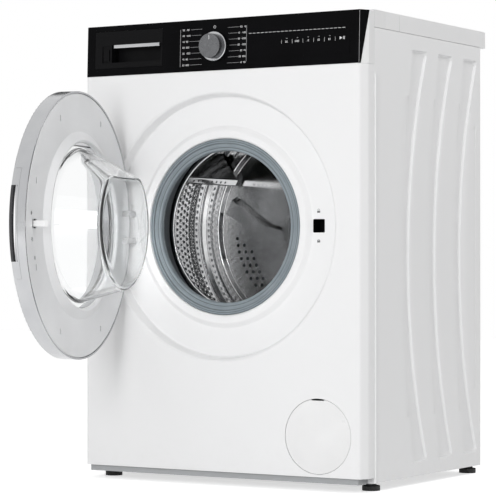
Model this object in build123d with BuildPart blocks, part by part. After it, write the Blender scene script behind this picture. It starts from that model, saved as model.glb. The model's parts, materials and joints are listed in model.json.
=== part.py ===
"""Front-loading washing machine with its round door open.

Millimetres, +Z up, +X to the viewer's right, front towards -Y.
The origin is on the floor, at the middle of the four feet.
Depths are measured backwards from the face of the front panel.
"""
from build123d import *
from math import atan2, cos, pi, radians, sin, sqrt, tan
import os

os.makedirs("parts", exist_ok=True)

# Overall cabinet
cabinet_width = 597.0
cabinet_height = 845.0
side_seam_depth = 39.0
side_back_depth = 470.0
worktop_overhang = 27.0
worktop_height = 31.0
rail_depth = 40.0
top_joint_depth = 134.0
sheet = 1.2
seat_gap = 0.3

# Feet and base
foot_inset_x = 23.0
foot_front_depth = 69.0
foot_back_inset = 11.0
foot_radius = 16.0
foot_height = 9.0
foot_stud_radius = 5.0
foot_stud_top = 46.0
foot_boss_wall = 2.5
foot_boss_height = 38.0
foot_collar_wall = 6.0
foot_edge_round = 1.5
stud_clearance = 0.05
tray_bottom = 14.0
tray_height = 40.0
tray_wall = 3.0
tray_front_depth = 6.0
tray_shoulder = 2.0
damper_seat_height = 22.0
damper_seat_wall = 5.0
pump_seat_half = 40.0
pump_seat_near = 8.0
pump_seat_far = 60.0

# Panels
side_panel_bottom = 15.0
front_panel_bottom = 25.0
console_height = 93.5
console_top_gap = 3.0
front_corner_inset = 9.5
front_corner_round = 8.0
facet_end_round = 10.0
facet_depth = 18.0
flange_width = 14.0
pressing_depth = 4.5
pressing_pitch = 105.0
pressing_count = 3
pressing_top_inset = 60.0
pressing_bottom = 42.0
pressing_near_end = 187.0
pressing_far_end = 244.0
pressing_near_middle = 164.0
pressing_far_middle = 170.0
step_line_depth = 445.0
step_line_bottom = 166.0
step_line_top = 662.0
step_line_width = 3.0

# Dish, porthole and drum axis
axis_z = 466.5
dish_radius = 240.0
dish_depth = 23.0
dish_lip = 5.0
dish_corner = 3.5
collar_depth = 15.5
collar_radius = 174.0
porthole_radius = 160.0
hem_depth = 27.0

# Door, given as if closed and then swung open about its hinge
open_angle = 77.4
hinge_x = -213.0
hinge_depth = -9.0
door_radius = 235.5
door_front_depth = -22.0
door_back_depth = 8.0
door_wall = 3.0
door_sight_radius = 152.0
frame_sheet = 2.5
frame_lip_depth = 16.8
frame_lip_radius = 149.5
glass_wall = 5.0
glass_flange_radius = 160.0
glass_root_radius = 134.0
glass_end_radius = 114.0
glass_end_depth = 87.0
glass_crown_depth = 98.0
glass_corner = 8.0
glass_seat_depth = 2.0
bowl_facet_drop = 54.0
handle_half_height = 92.5
slot_half_height = 64.0
handle_inner_radius = 205.0
handle_back_depth = -7.0
grip_depth = 4.6
grip_width = 8.0
hook_x = 198.0
hook_length = 25.0
hook_pin_radius = 2.0
lug_half_width = 5.5
lug_offset = 26.0
lug_thickness = 10.0
lug_elbow_offset = 15.0
lug_elbow_depth = -1.0
lug_strip = 8.0
lug_sweep = 24.0
hinge_pin_radius = 3.0
hinge_running_gap = 0.05
hinge_plate = 3.0
hinge_foot_offset = 47.0
hinge_foot_half = 5.0
hinge_foot_width = 12.0
hinge_foot_reach = 52.0
bracket_half_width = 14.0
bracket_half_height = 60.0
screw_radius = 3.2
screw_places = [(210.0, 18.0), (207.0, -26.0), (196.0, -57.0)]
latch_width = 24.0
latch_x = 196.0
lock_depth = 34.0
lock_pocket_depth = 24.0
lock_half_height = 42.0

# Seal
gasket_wall = 2.6
collar_wall = 3.2

# Console
console_setback = 3.0
fascia_sheet = 3.0
fascia_bottom_reach = 3.3
drawer_left = -272.0
drawer_right = -120.5
drawer_bottom_drop = 80.0
drawer_top_drop = 10.0
drawer_gap = 0.6
grip_recess_left = -234.0
grip_recess_rise = 11.0
grip_recess_height = 33.0
grip_recess_depth = 24.0
drawer_bar_left = -226.0
drawer_bar_height = 7.0
marker_left = -255.0
marker_right = -237.0
tray_length = 225.0
tray_sheet = 2.0
tray_side_gap = 4.0
left_cell_share = 0.38
middle_cell_share = 0.32
housing_gap = 1.5
knob_x = -7.0
knob_drop = 50.0
knob_radius = 22.5
knob_base_radius = 26.6
knob_reach = 20.0
knob_shaft_radius = 3.0
display_left = 66.0
display_right = 270.0
display_bottom_drop = 76.0
display_top_drop = 30.0
display_groove = 0.8
board_front = 30.0
board_length = 90.0

# Tub and drum
drum_radius = 240.0
drum_front_depth = 90.0
drum_back_depth = 322.0
drum_sheet = 1.0
drum_mouth_radius = 150.0
hoop_wire = 3.0
tub_radius = 262.0
tub_wall = 3.0
tub_front_depth = 78.0
tub_split_depth = 205.0
tub_back_depth = 345.0
neck_radius = 161.5
neck_length = 12.0
tub_flange = 7.0
shaft_radius = 12.5
bearing_radius = 26.0
bearing_width = 13.0
hub_radius = 34.0
hub_length = 34.0
pulley_radius = 140.0
pulley_width = 14.0
pulley_gap = 4.0
belt_thickness = 3.0
belt_gap = 0.08
lifter_count = 3
lifter_first_angle = 149.0
lifter_height = 64.0
lifter_base = 70.0
lifter_crest = 14.0
lifter_wall = 1.5
arm_count = 3
arm_first_angle = 152.8
arm_offset = 35.0
arm_start = 20.0
arm_length = 170.0
arm_hub_half = 20.5
arm_tip_half = 20.5
arm_waist_place = 82.0
arm_waist_inset = 13.0
arm_hub_radius = 46.0
arm_height = 22.0
arm_taper = 12.0
back_hole_radius = 3.2
back_hole_arc = 158.0
back_hole_start = 17.7
back_hole_pitch_x = 14.2
back_hole_pitch_z = 13.0
back_hole_rows = 9
motor_x = 70.0
motor_z = 122.0
motor_radius = 60.0
motor_length = 105.0
motor_pulley_radius = 12.5
motor_mounts = [250.0, 320.0]
bounce = 6.0
heater_half_width = 34.0
heater_drop = 247.0

# Suspension
spring_inset = 30.5
spring_depth = 209.0
spring_wire = 1.8
spring_coil_radius = 11.0
spring_coils = 18
damper_x = 190.0
damper_depth = 208.0
damper_radius = 14.0
damper_rod_radius = 6.0
damper_lug_bottom = 240.0
damper_body_top = 165.0
damper_bore_start = 20.0
damper_eye_height = 12.0
eye_radius = 8.0
eye_hole = 4.0
eye_thickness = 6.0
eye_ring_radius = 6.0
upper_eye_drop = 31.8
rail_drop = 2.5
rail_width = 16.0
rail_front_width = 18.0
rail_back_width = 20.0
lower_eye_rise = 133.7
rail_height = 24.0

# Drain filter behind the round cover
filter_x = 206.6
filter_z = 96.3
filter_cover_radius = 66.0
filter_cover_gap = 0.6
filter_bore = 33.0
filter_start = 12.0
plug_radius = 32.6
pump_length = 150.0
pump_wall = 3.0
sump_depth = 110.0
sump_radius = 20.0
sump_bore = 15.0
sump_ribs = 9
sump_rise = 6.0
sump_top = 275.0

# Rear connections
inlet_x = 230.0
inlet_drop = 70.0
gland_radius = 11.0
gland_bore = 4.0
inlet_thread_radius = 13.2
outlet_x = -232.0
outlet_drop = 145.0
outlet_radius = 10.0
transport_spacing_x = 460.0
transport_spacing_z = 380.0
transport_hole_radius = 9.0
service_half_width = 168.0
service_half_height = 176.0
service_corner = 32.0
cover_rise = 14.0
cover_overlap = 14.0
cover_slope = 12.0
cover_taper = 20.0

# Balance weight on top of the tub
top_weight_half = 120.0
top_weight_start = 225.0
top_weight_end = 330.0
top_weight_height = 26.0

# Places that follow from the sizes above
foot_spacing_x = cabinet_width - 2 * foot_inset_x
foot_back_depth = side_back_depth - foot_back_inset
foot_spacing_y = foot_back_depth - foot_front_depth
front_y = -(foot_front_depth + foot_back_depth) / 2
half_width = cabinet_width / 2
spring_x = half_width - spring_inset
front_corner_x = half_width - front_corner_inset
worktop_bottom = cabinet_height - worktop_height
worktop_back_depth = side_back_depth + worktop_overhang
console_top = cabinet_height - console_top_gap
front_panel_top = console_top - console_height
pressing_top = cabinet_height - pressing_top_inset
rail_top = front_panel_top - rail_drop
drawer_bottom = console_top - drawer_bottom_drop
drawer_top = console_top - drawer_top_drop
grip_recess_bottom = drawer_bottom + grip_recess_rise
grip_recess_top = grip_recess_bottom + grip_recess_height
tray_top = grip_recess_top
knob_z = console_top - knob_drop
display_bottom = console_top - display_bottom_drop
display_top = console_top - display_top_drop
upper_eye = rail_top - upper_eye_drop
lower_eye = axis_z + lower_eye_rise
heater_z = axis_z - heater_drop
inlet_z = cabinet_height - inlet_drop
outlet_z = cabinet_height - outlet_drop
pulley_start = tub_back_depth + hub_length + pulley_gap
pulley_end = pulley_start + pulley_width
sump_x = filter_x
sump_bottom = filter_z + filter_bore + pump_wall + sump_rise
drum_axis = Axis((0, front_y, axis_z), (0, 1, 0))
drum_section = Plane(origin=(0, front_y, axis_z), x_dir=(1, 0, 0), z_dir=(0, 0, 1))
hinge_axis = Axis((hinge_x, front_y + hinge_depth, axis_z), (0, 0, 1))


def facing(depth, x=0.0, z=0.0):
    """A plane that faces the front: its own x is X and its own y is Z."""
    return Plane(origin=(x, front_y + depth, z), x_dir=(1, 0, 0), z_dir=(0, -1, 0))


def sideways(x):
    """A plane that faces +X, measured in depth and height."""
    return Plane(origin=(x, front_y, 0), x_dir=(0, 1, 0), z_dir=(1, 0, 0))


def block(x_low, x_high, depth_low, depth_high, z_low, z_high, mode=Mode.ADD):
    """An upright box between named limits."""
    middle = ((x_low + x_high) / 2, front_y + (depth_low + depth_high) / 2, (z_low + z_high) / 2)
    with Locations(middle):
        Box(x_high - x_low, depth_high - depth_low, z_high - z_low, mode=mode)


def disc(x, z, radius, depth_low, depth_high, mode=Mode.ADD):
    """A cylinder along Y between two depths."""
    with BuildSketch(facing(depth_high, x, z)) as round_face:
        Circle(radius)
    extrude(round_face.sketch, amount=depth_high - depth_low, mode=mode)


def post(x, depth, radius, z_low, z_high, mode=Mode.ADD):
    """A cylinder along Z between two heights."""
    with BuildSketch(Plane.XY.offset(z_low)) as round_face:
        with Locations((x, front_y + depth)):
            Circle(radius)
    extrude(round_face.sketch, amount=z_high - z_low, mode=mode)


def write(part, name):
    """Names a finished piece and writes it."""
    part.label = name
    export_step(part, f"parts/{name}.step")


def write_door(part, name):
    """Writes a door piece, swung from closed to its open place."""
    write(part.rotate(hinge_axis, -open_angle), name)


# Cabinet


def pressing_outline(start, growth=0.0):
    """One bowed pressing: narrow at mid height and wide at both ends."""
    middle = (pressing_top + pressing_bottom) / 2
    top = pressing_top + growth
    bottom = pressing_bottom - growth
    with BuildLine() as bow:
        near = ThreePointArc(
            (start + pressing_near_end - growth, top),
            (start + pressing_near_middle - growth, middle),
            (start + pressing_near_end - growth, bottom),
        )
        far = ThreePointArc(
            (start + pressing_far_end + growth, bottom),
            (start + pressing_far_middle + growth, middle),
            (start + pressing_far_end + growth, top),
        )
        Line(near @ 1, far @ 0)
        Line(far @ 1, near @ 0)
    make_face(bow.edges())


def side_panel(side):
    """A sheet side wall with three bowed pressings and folded edges."""
    top = worktop_bottom - seat_gap
    inward = -side
    with BuildPart() as panel:
        with BuildSketch(sideways(side * half_width)):
            with Locations(((side_seam_depth + side_back_depth) / 2, (side_panel_bottom + top) / 2)):
                Rectangle(side_back_depth - side_seam_depth, top - side_panel_bottom)
        extrude(amount=inward * sheet)
        edge = sorted((side * half_width, side * (half_width - flange_width)))
        block(*edge, side_seam_depth, side_seam_depth + sheet, side_panel_bottom, top)
        block(*edge, side_back_depth - sheet, side_back_depth, side_panel_bottom, top)
        block(*edge, side_seam_depth, side_back_depth, top - sheet, top)
        with BuildSketch(sideways(side * half_width)):
            for index in range(pressing_count):
                pressing_outline(index * pressing_pitch, sheet)
        extrude(amount=inward * (pressing_depth + sheet))
        with BuildSketch(sideways(side * half_width)):
            for index in range(pressing_count):
                pressing_outline(index * pressing_pitch)
        extrude(amount=inward * pressing_depth, mode=Mode.SUBTRACT)
        with BuildSketch(sideways(side * half_width)):
            with Locations((step_line_depth, (step_line_bottom + step_line_top) / 2)):
                Rectangle(step_line_width, step_line_top - step_line_bottom)
        extrude(amount=inward * sheet / 2, mode=Mode.SUBTRACT)
    return panel.part


def front_outline(setback=0.0):
    """The cabinet's front in plan: flat face, two facets and two short sides."""
    with BuildLine() as plan:
        Polyline(
            (-half_width, front_y + side_seam_depth - seat_gap),
            (-half_width, front_y + facet_depth + setback),
            (-front_corner_x, front_y + setback),
            (front_corner_x, front_y + setback),
            (half_width, front_y + facet_depth + setback),
            (half_width, front_y + side_seam_depth - seat_gap),
            close=True,
        )
    make_face(plan.edges())


def front_panel():
    """The sheet front with its soft round dish, porthole, latch hole and filter hole."""
    hole_radius = dish_radius + dish_lip + 2 * sheet
    with BuildPart() as panel:
        with BuildSketch(Plane.XY.offset(front_panel_bottom)):
            front_outline()
        extrude(amount=front_panel_top - front_panel_bottom - seat_gap)
        fillet(panel.edges().filter_by(Axis.Z).group_by(Axis.Y)[0], radius=front_corner_round)
        fillet(panel.edges().filter_by(Axis.Z).group_by(Axis.Y)[-2], radius=facet_end_round)
        back = panel.faces().filter_by(Axis.Y).sort_by(Axis.Y)[-1]
        ends = panel.faces().filter_by(Axis.Z)
        offset(amount=-sheet, openings=[back, *ends])
        disc(0, axis_z, hole_radius, -1, sheet + 1, mode=Mode.SUBTRACT)
        with BuildSketch(drum_section):
            with BuildLine():
                FilletPolyline(
                    (hole_radius + 2 * sheet, sheet / 2),
                    (dish_radius + sheet / 2, sheet / 2),
                    (dish_radius - 3, dish_depth + sheet / 2),
                    (collar_radius + 9, dish_depth + sheet / 2),
                    (collar_radius, collar_depth + sheet / 2),
                    (porthole_radius + sheet / 2, collar_depth + sheet / 2),
                    (porthole_radius + sheet / 2, hem_depth),
                    radius=[dish_lip, dish_corner, dish_corner, dish_corner, dish_corner],
                )
            trace(line_width=sheet)
        revolve(axis=drum_axis)
        with BuildSketch(facing(dish_depth - 1, latch_x, axis_z)):
            RectangleRounded(latch_width, latch_width, 2)
        extrude(amount=-3 * sheet, mode=Mode.SUBTRACT)
        with BuildSketch(facing(dish_depth - 1, hinge_x + lug_elbow_offset, axis_z)):
            with GridLocations(1, 2 * lug_offset, 1, 2):
                Rectangle(lug_strip + 2, lug_thickness + 2)
        extrude(amount=-3 * sheet, mode=Mode.SUBTRACT)
        disc(filter_x, filter_z, filter_cover_radius + filter_cover_gap, -1, 3, mode=Mode.SUBTRACT)
    return panel.part


def rear_panel():
    """The sheet back with openings for the service cover, transport bolts and connections."""
    depth = side_back_depth - 2 * sheet - seat_gap
    top = worktop_bottom - 2 * sheet - 2 * seat_gap
    bottom = tray_bottom + tray_height + seat_gap
    width = 2 * (half_width - sheet - seat_gap)
    with BuildPart() as panel:
        with BuildSketch(facing(depth, 0, (top + bottom) / 2)):
            Rectangle(width, top - bottom)
        extrude(amount=-sheet)
        with BuildSketch(facing(depth, 0, axis_z)):
            rounded_opening()
            with GridLocations(transport_spacing_x, transport_spacing_z, 2, 2):
                Circle(transport_hole_radius)
        extrude(amount=-2 * sheet, mode=Mode.SUBTRACT)
        disc(inlet_x, inlet_z, inlet_thread_radius + 3, depth - 1, depth + 3, mode=Mode.SUBTRACT)
        disc(outlet_x, outlet_z, outlet_radius + 3, depth - 1, depth + 3, mode=Mode.SUBTRACT)
        disc(-inlet_x, inlet_z, gland_radius + seat_gap, depth - 1, depth + 3, mode=Mode.SUBTRACT)
    return panel.part


def rounded_opening(growth=0.0):
    """The opening behind the belt, in outline."""
    RectangleRounded(
        2 * (service_half_width + growth),
        2 * (service_half_height + growth),
        service_corner + growth,
    )


def service_cover():
    """A shallow pressed cover over the belt, screwed to the back."""
    seat = side_back_depth - sheet
    with BuildPart() as cover:
        with BuildSketch(facing(seat + sheet, 0, axis_z)):
            rounded_opening(cover_overlap)
        extrude(amount=sheet)
        with BuildSketch(facing(seat + cover_rise, 0, axis_z)):
            rounded_opening(-cover_slope)
        extrude(amount=cover_rise - sheet / 2, taper=-cover_taper)
        with BuildSketch(facing(seat + cover_rise - sheet, 0, axis_z)):
            rounded_opening(-cover_slope - sheet)
        extrude(amount=cover_rise, taper=-cover_taper, mode=Mode.SUBTRACT)
    return cover.part


def base_tray():
    """The plastic tray under the machine, with a boss for each foot and seats for the dampers."""
    half_tray = half_width - pressing_depth - sheet - seat_gap
    plinth_x = half_width - flange_width - 2 * seat_gap
    shoulder = side_seam_depth + tray_shoulder
    back = side_back_depth - 2 * sheet - 2 * seat_gap
    top = tray_bottom + tray_height
    floor = tray_bottom + tray_wall
    pump_floor = filter_z - filter_bore - pump_wall - seat_gap
    with BuildPart() as tray:
        block(-half_tray, half_tray, shoulder, back, tray_bottom, top)
        block(-plinth_x, plinth_x, tray_front_depth, shoulder + 1, tray_bottom, top)
        block(
            -half_tray + tray_wall,
            half_tray - tray_wall,
            shoulder + tray_wall,
            back - tray_wall,
            floor,
            top + 1,
            mode=Mode.SUBTRACT,
        )
        block(
            -plinth_x + tray_wall,
            plinth_x - tray_wall,
            tray_front_depth + tray_wall,
            shoulder + tray_wall + 1,
            floor,
            top + 1,
            mode=Mode.SUBTRACT,
        )
        with BuildSketch(Plane.XY.offset(tray_bottom)):
            with GridLocations(foot_spacing_x, foot_spacing_y, 2, 2):
                Circle(foot_stud_radius + foot_boss_wall)
        extrude(amount=foot_boss_height)
        for side in (-1, 1):
            seat_top = tray_bottom + damper_seat_height
            post(side * damper_x, damper_depth, damper_radius + damper_seat_wall, tray_bottom, seat_top)
        block(
            filter_x - pump_seat_half,
            filter_x + pump_seat_half,
            side_seam_depth + pump_seat_near,
            side_seam_depth + pump_seat_far,
            tray_bottom,
            pump_floor,
        )
        with BuildSketch(Plane.XY.offset(tray_bottom - 1)):
            with GridLocations(foot_spacing_x, foot_spacing_y, 2, 2):
                Circle(foot_stud_radius + stud_clearance)
        extrude(amount=tray_height, mode=Mode.SUBTRACT)
    return tray.part


def foot(side_x, side_y):
    """A levelling foot: a round pad with a wrench collar and a stud."""
    x = side_x * foot_spacing_x / 2
    depth = side_y * foot_spacing_y / 2 - front_y
    with BuildPart() as pad:
        post(x, depth, foot_radius, 0, foot_height)
        fillet(pad.edges().filter_by(GeomType.CIRCLE).group_by(Axis.Z)[-1], radius=foot_edge_round)
        with BuildSketch(Plane.XY.offset(foot_height)):
            with Locations((x, front_y + depth)):
                RegularPolygon(foot_stud_radius + foot_collar_wall, 6)
        extrude(amount=tray_bottom - foot_height - seat_gap)
        post(x, depth, foot_stud_radius, foot_height, foot_stud_top)
    return pad.part


def worktop():
    """The laminated top board, which overhangs at the back."""
    start = side_seam_depth + rail_depth + seat_gap
    with BuildPart() as board:
        block(-half_width, half_width, start, worktop_back_depth, worktop_bottom, cabinet_height)
        fillet(board.edges().filter_by(Axis.Z).group_by(Axis.Y)[-1], radius=8)
        fillet(board.faces().sort_by(Axis.Z)[-1].edges(), radius=2.5)
        for side in (-1, 1):
            block(
                *sorted((side * half_width, side * (half_width - 1))),
                top_joint_depth,
                top_joint_depth + 1.2,
                worktop_bottom,
                cabinet_height - 3,
                mode=Mode.SUBTRACT,
            )
    return board.part


def worktop_front_rail():
    """The plastic strip between the console and the top board."""
    with BuildPart() as rail:
        block(
            -half_width,
            half_width,
            side_seam_depth + seat_gap,
            side_seam_depth + rail_depth,
            worktop_bottom,
            cabinet_height,
        )
        fillet(rail.faces().sort_by(Axis.Z)[-1].edges().filter_by(Axis.Y), radius=2.5)
    return rail.part


def upper_frame():
    """A ring of rails inside the top of the cabinet, which carries the springs."""
    half_frame = half_width - sheet - seat_gap
    inner = half_frame - flange_width - rail_width
    back = side_back_depth - 3 * sheet - 2 * seat_gap
    start = side_seam_depth + sheet + seat_gap
    with BuildPart() as ring:
        block(-half_frame, half_frame, start, back, rail_top - rail_height, rail_top)
        block(
            -inner,
            inner,
            start + rail_front_width,
            back - rail_back_width,
            rail_top - rail_height - 1,
            rail_top + 1,
            mode=Mode.SUBTRACT,
        )
        for side in (-1, 1):
            block(
                *sorted((side * (half_frame + 1), side * (half_frame - pressing_depth - sheet - 2))),
                side_seam_depth + pressing_near_middle - 40,
                back - 12,
                rail_top - rail_height - 1,
                rail_top + 1,
                mode=Mode.SUBTRACT,
            )
            x = side * spring_x
            half = eye_thickness / 2
            rail_bottom = rail_top - rail_height
            block(x - 5, x + 5, spring_depth - half, spring_depth + half, upper_eye, rail_bottom + 1)
            spring_eye(x, upper_eye)
    return ring.part


def spring_eye(x, z):
    """A rounded lug with a hole for a spring's end ring."""
    half = eye_thickness / 2
    disc(x, z, eye_radius, spring_depth - half, spring_depth + half)
    disc(x, z, eye_hole, spring_depth - half - 1, spring_depth + half + 1, mode=Mode.SUBTRACT)


# Console


def slope(z):
    """How far the console's face leans back at a height."""
    return console_setback * (z - front_panel_top) / (console_top - front_panel_top)


def fascia_outline(z, reach, inner, outer):
    """The fascia in plan: a thin strip that turns the corner by a reach along each facet."""
    facet_x = half_width - front_corner_x
    facet_length = sqrt(facet_x**2 + facet_depth**2)
    along = reach / facet_length
    half_turn = tan(atan2(facet_depth, facet_x) / 2)
    back = slope(z)
    tip_x = front_corner_x + facet_x * along
    tip_depth = back + facet_depth * along
    normal_x = facet_depth / facet_length
    normal_depth = facet_x / facet_length
    near = [
        (tip_x + outer * normal_x, tip_depth - outer * normal_depth),
        (front_corner_x + outer * half_turn, back - outer),
    ]
    far = [
        (front_corner_x - inner * half_turn, back + inner),
        (tip_x - inner * normal_x, tip_depth + inner * normal_depth),
    ]
    right = near + far
    with BuildLine() as plan:
        Polyline(
            (-right[0][0], front_y + right[0][1]),
            (-right[1][0], front_y + right[1][1]),
            (right[1][0], front_y + right[1][1]),
            (right[0][0], front_y + right[0][1]),
            (right[3][0], front_y + right[3][1]),
            (right[2][0], front_y + right[2][1]),
            (-right[2][0], front_y + right[2][1]),
            (-right[3][0], front_y + right[3][1]),
            close=True,
        )
    make_face(plan.edges())


def fascia_body(bottom, top, inner, outer, growth):
    """The leaning strip between two heights, used for the fascia and for its seat."""
    facet_length = sqrt((half_width - front_corner_x) ** 2 + facet_depth**2)
    with BuildSketch(Plane.XY.offset(bottom)) as low:
        fascia_outline(bottom, fascia_bottom_reach + growth, inner, outer)
    with BuildSketch(Plane.XY.offset(top)) as high:
        fascia_outline(top, facet_length + growth, inner, outer)
    loft([low.sketch, high.sketch], ruled=True)


def console_frame():
    """The white console body: four walls, two end wings and a seat for the fascia."""
    back = side_seam_depth - seat_gap
    with BuildPart() as seat:
        fascia_body(front_panel_top - 1, console_top + 1, fascia_sheet + seat_gap, 4, 2 * seat_gap)
    with BuildPart() as frame:
        with BuildSketch(Plane.XY.offset(front_panel_top)):
            front_outline()
        with BuildSketch(Plane.XY.offset(console_top)):
            front_outline(console_setback)
        loft(ruled=True)
        add(seat.part, mode=Mode.SUBTRACT)
        block(
            -front_corner_x + 6,
            front_corner_x - 6,
            fascia_sheet + console_setback + 4,
            back + 1,
            front_panel_top + 3,
            console_top - 3,
            mode=Mode.SUBTRACT,
        )
        block(
            drawer_left - 4,
            drawer_right + 4,
            -1,
            back + 1,
            drawer_bottom - 4,
            drawer_top + 4,
            mode=Mode.SUBTRACT,
        )
        disc(knob_x, knob_z, knob_shaft_radius + 4, -1, back, mode=Mode.SUBTRACT)
    return frame.part


def fascia():
    """The glossy dark front of the console, with its drawer opening and display edge."""
    with BuildPart() as front:
        fascia_body(front_panel_top + seat_gap, console_top, fascia_sheet, 0, 0)
        block(
            drawer_left,
            drawer_right,
            -5,
            fascia_sheet + console_setback + 5,
            drawer_bottom,
            drawer_top,
            mode=Mode.SUBTRACT,
        )
        disc(knob_x, knob_z, knob_shaft_radius + 1, -5, 15, mode=Mode.SUBTRACT)
        groove_top = display_bottom + display_groove
        groove_depth = slope(display_bottom) + 0.5
        block(display_left, display_right, -5, groove_depth, display_bottom, groove_top, mode=Mode.SUBTRACT)
        block(
            display_right,
            display_right + display_groove,
            -5,
            slope((display_bottom + display_top) / 2) + 0.6,
            display_bottom,
            display_top,
            mode=Mode.SUBTRACT,
        )
    return front.part


def drawer_front():
    """The drawer's face with a deep grip recess and a small framed window."""
    low = drawer_bottom + drawer_gap
    high = drawer_top - drawer_gap
    left = drawer_left + drawer_gap
    right = drawer_right - drawer_gap
    wall = tray_sheet
    with BuildPart() as face:
        with BuildSketch(sideways(left)):
            with BuildLine():
                Polyline(
                    (slope(low), low),
                    (slope(high), high),
                    (slope(high) + 4, high),
                    (slope(high) + 4, low),
                    close=True,
                )
            make_face()
        extrude(amount=right - left)
        block(
            grip_recess_left - wall,
            right - wall,
            2,
            grip_recess_depth + wall,
            grip_recess_bottom - wall,
            grip_recess_top + wall,
        )
        block(
            grip_recess_left,
            right - 2 * wall,
            -5,
            grip_recess_depth,
            grip_recess_bottom,
            grip_recess_top,
            mode=Mode.SUBTRACT,
        )
        window_depth = slope(grip_recess_top) + 1.2
        block(
            marker_left,
            marker_right,
            -5,
            window_depth,
            grip_recess_bottom,
            grip_recess_top - 2,
            mode=Mode.SUBTRACT,
        )
        block(
            marker_left + 3,
            marker_right - 3,
            0,
            window_depth + 1,
            grip_recess_bottom + 3,
            grip_recess_top - 8,
        )
        block(
            marker_left + 3,
            marker_right - 3,
            -5,
            slope(grip_recess_bottom) + 0.3,
            grip_recess_bottom + 2,
            grip_recess_top - 7,
            mode=Mode.SUBTRACT,
        )
    return face.part


def drawer_grip_bar():
    """The bright bar along the top of the grip recess."""
    with BuildPart() as bar:
        block(
            drawer_bar_left,
            drawer_right - drawer_gap - 2 * tray_sheet - seat_gap,
            -3,
            9,
            grip_recess_top - drawer_bar_height,
            grip_recess_top - seat_gap,
        )
        fillet(bar.edges().filter_by(Axis.X).group_by(Axis.Y)[0], radius=1.8)
    return bar.part


def drawer_tray():
    """The detergent tray with three compartments of different widths."""
    left = drawer_left + tray_side_gap + 4
    right = drawer_right - tray_side_gap - 2
    start = grip_recess_depth + tray_sheet + seat_gap
    end = start + tray_length
    low = drawer_bottom + 6
    wall = tray_sheet
    first = left + left_cell_share * (right - left)
    second = first + middle_cell_share * (right - left)
    with BuildPart() as tray:
        block(left, right, start, end, low, tray_top)
        for a, b in ((left + wall, first), (first + wall, second), (second + wall, right - wall)):
            block(a, b, start + wall, end - wall, low + wall, tray_top + 1, mode=Mode.SUBTRACT)
        shelf = grip_recess_bottom - tray_sheet - seat_gap
        block(left, right, slope(drawer_top) + 4, start + 1, drawer_bottom + 2, shelf)
    return tray.part


def dispenser_housing():
    """The box that the drawer slides into, with its outlet to the tub."""
    left = drawer_left + tray_side_gap + 4 - housing_gap
    right = drawer_right - tray_side_gap - 2 + housing_gap
    start = side_seam_depth + 3
    end = grip_recess_depth + tray_length + 20
    low = drawer_bottom + 6 - housing_gap
    wall = tray_sheet
    high = worktop_bottom - sheet - seat_gap - 0.5
    outlet = (left + right) / 2
    with BuildPart() as box:
        block(left - wall, right + wall, start, end, low - wall, high)
        block(left, right, start - 1, end - wall, low, high - wall, mode=Mode.SUBTRACT)
        post(outlet, end - 40, 18, rail_top - 6, low - wall / 2)
        post(outlet, end - 40, 15, rail_top - 7, low + 1, mode=Mode.SUBTRACT)
        for leg in (start + 20, end - 90):
            block(left - wall - 9, left - wall + 1, leg, leg + 24, rail_top + seat_gap, low + 12)
    return box.part


def programme_knob():
    """The turning knob: a slightly tapered drum with a sunk pointer line and a shaft."""
    with BuildPart() as knob:
        with BuildSketch(facing(-6.2, knob_x, knob_z)):
            Circle(knob_radius)
        extrude(amount=knob_reach - 6.2, taper=2)
        fillet(knob.faces().sort_by(Axis.Y)[0].edges(), radius=1.2)
        with BuildSketch(facing(-knob_reach, knob_x, knob_z)):
            with Locations((0, knob_radius * 0.68)):
                Rectangle(1.4, 9)
        extrude(amount=-0.5, mode=Mode.SUBTRACT)
        disc(knob_x, knob_z, knob_shaft_radius, -6.2, board_front + 8)
    return knob.part


def knob_ring():
    """The bright skirt at the knob's foot."""
    with BuildPart() as ring:
        disc(knob_x, knob_z, knob_base_radius, -6, -seat_gap)
        fillet(ring.faces().sort_by(Axis.Y)[0].edges(), radius=1.5)
        disc(knob_x, knob_z, knob_shaft_radius + 0.1, -7, 1, mode=Mode.SUBTRACT)
    return ring.part


def control_board():
    """The electronics box behind the console, with the knob's encoder on its front."""
    with BuildPart() as box:
        board_end = side_seam_depth + board_length
        block(knob_x - 18, display_right, side_seam_depth, board_end, display_bottom - 2, worktop_bottom - 6)
        low = display_bottom + 4
        block(display_left, display_right - 8, board_front - 6, side_seam_depth + 1, low, display_top - 6)
        block(knob_x - 14, knob_x + 14, board_front, side_seam_depth + 1, knob_z - 14, knob_z + 14)
        socket = knob_shaft_radius + stud_clearance
        disc(knob_x, knob_z, socket, board_front - 1, board_front + 9, mode=Mode.SUBTRACT)
    return box.part


# Door


def door_ring():
    """The bright ring: an outer band and a front annulus, open for the handle and the hinge."""
    with BuildPart() as ring:
        with BuildSketch(drum_section):
            with BuildLine():
                Polyline(
                    (door_sight_radius, door_front_depth),
                    (door_radius, door_front_depth),
                    (door_radius, door_back_depth - 0.4),
                    (door_radius - door_wall, door_back_depth - 0.4),
                    (door_radius - door_wall, door_front_depth + door_wall),
                    (door_sight_radius + door_wall, door_front_depth + door_wall),
                    (door_sight_radius + door_wall, glass_seat_depth - seat_gap),
                    (door_sight_radius, glass_seat_depth - seat_gap),
                    close=True,
                )
            make_face()
        revolve(axis=drum_axis)
        outer = ring.edges().filter_by(GeomType.CIRCLE).group_by(Axis.Y)[0].sort_by(SortBy.RADIUS)
        fillet(outer[-1], radius=2.8)
        fillet(outer[0], radius=2)
        handle_space(seat_gap)
        hinge_notches()
    return ring.part


def hinge_notches():
    """Clears the two slots in which the bracket's arms lie as the door swings."""
    half = lug_thickness / 2 + 1
    for side in (-1, 1):
        middle = axis_z + side * lug_offset
        block(
            -door_radius - 2,
            hinge_x + lug_sweep,
            door_front_depth + door_wall + 0.5,
            door_back_depth + 10,
            middle - half,
            middle + half,
            mode=Mode.SUBTRACT,
        )


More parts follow.
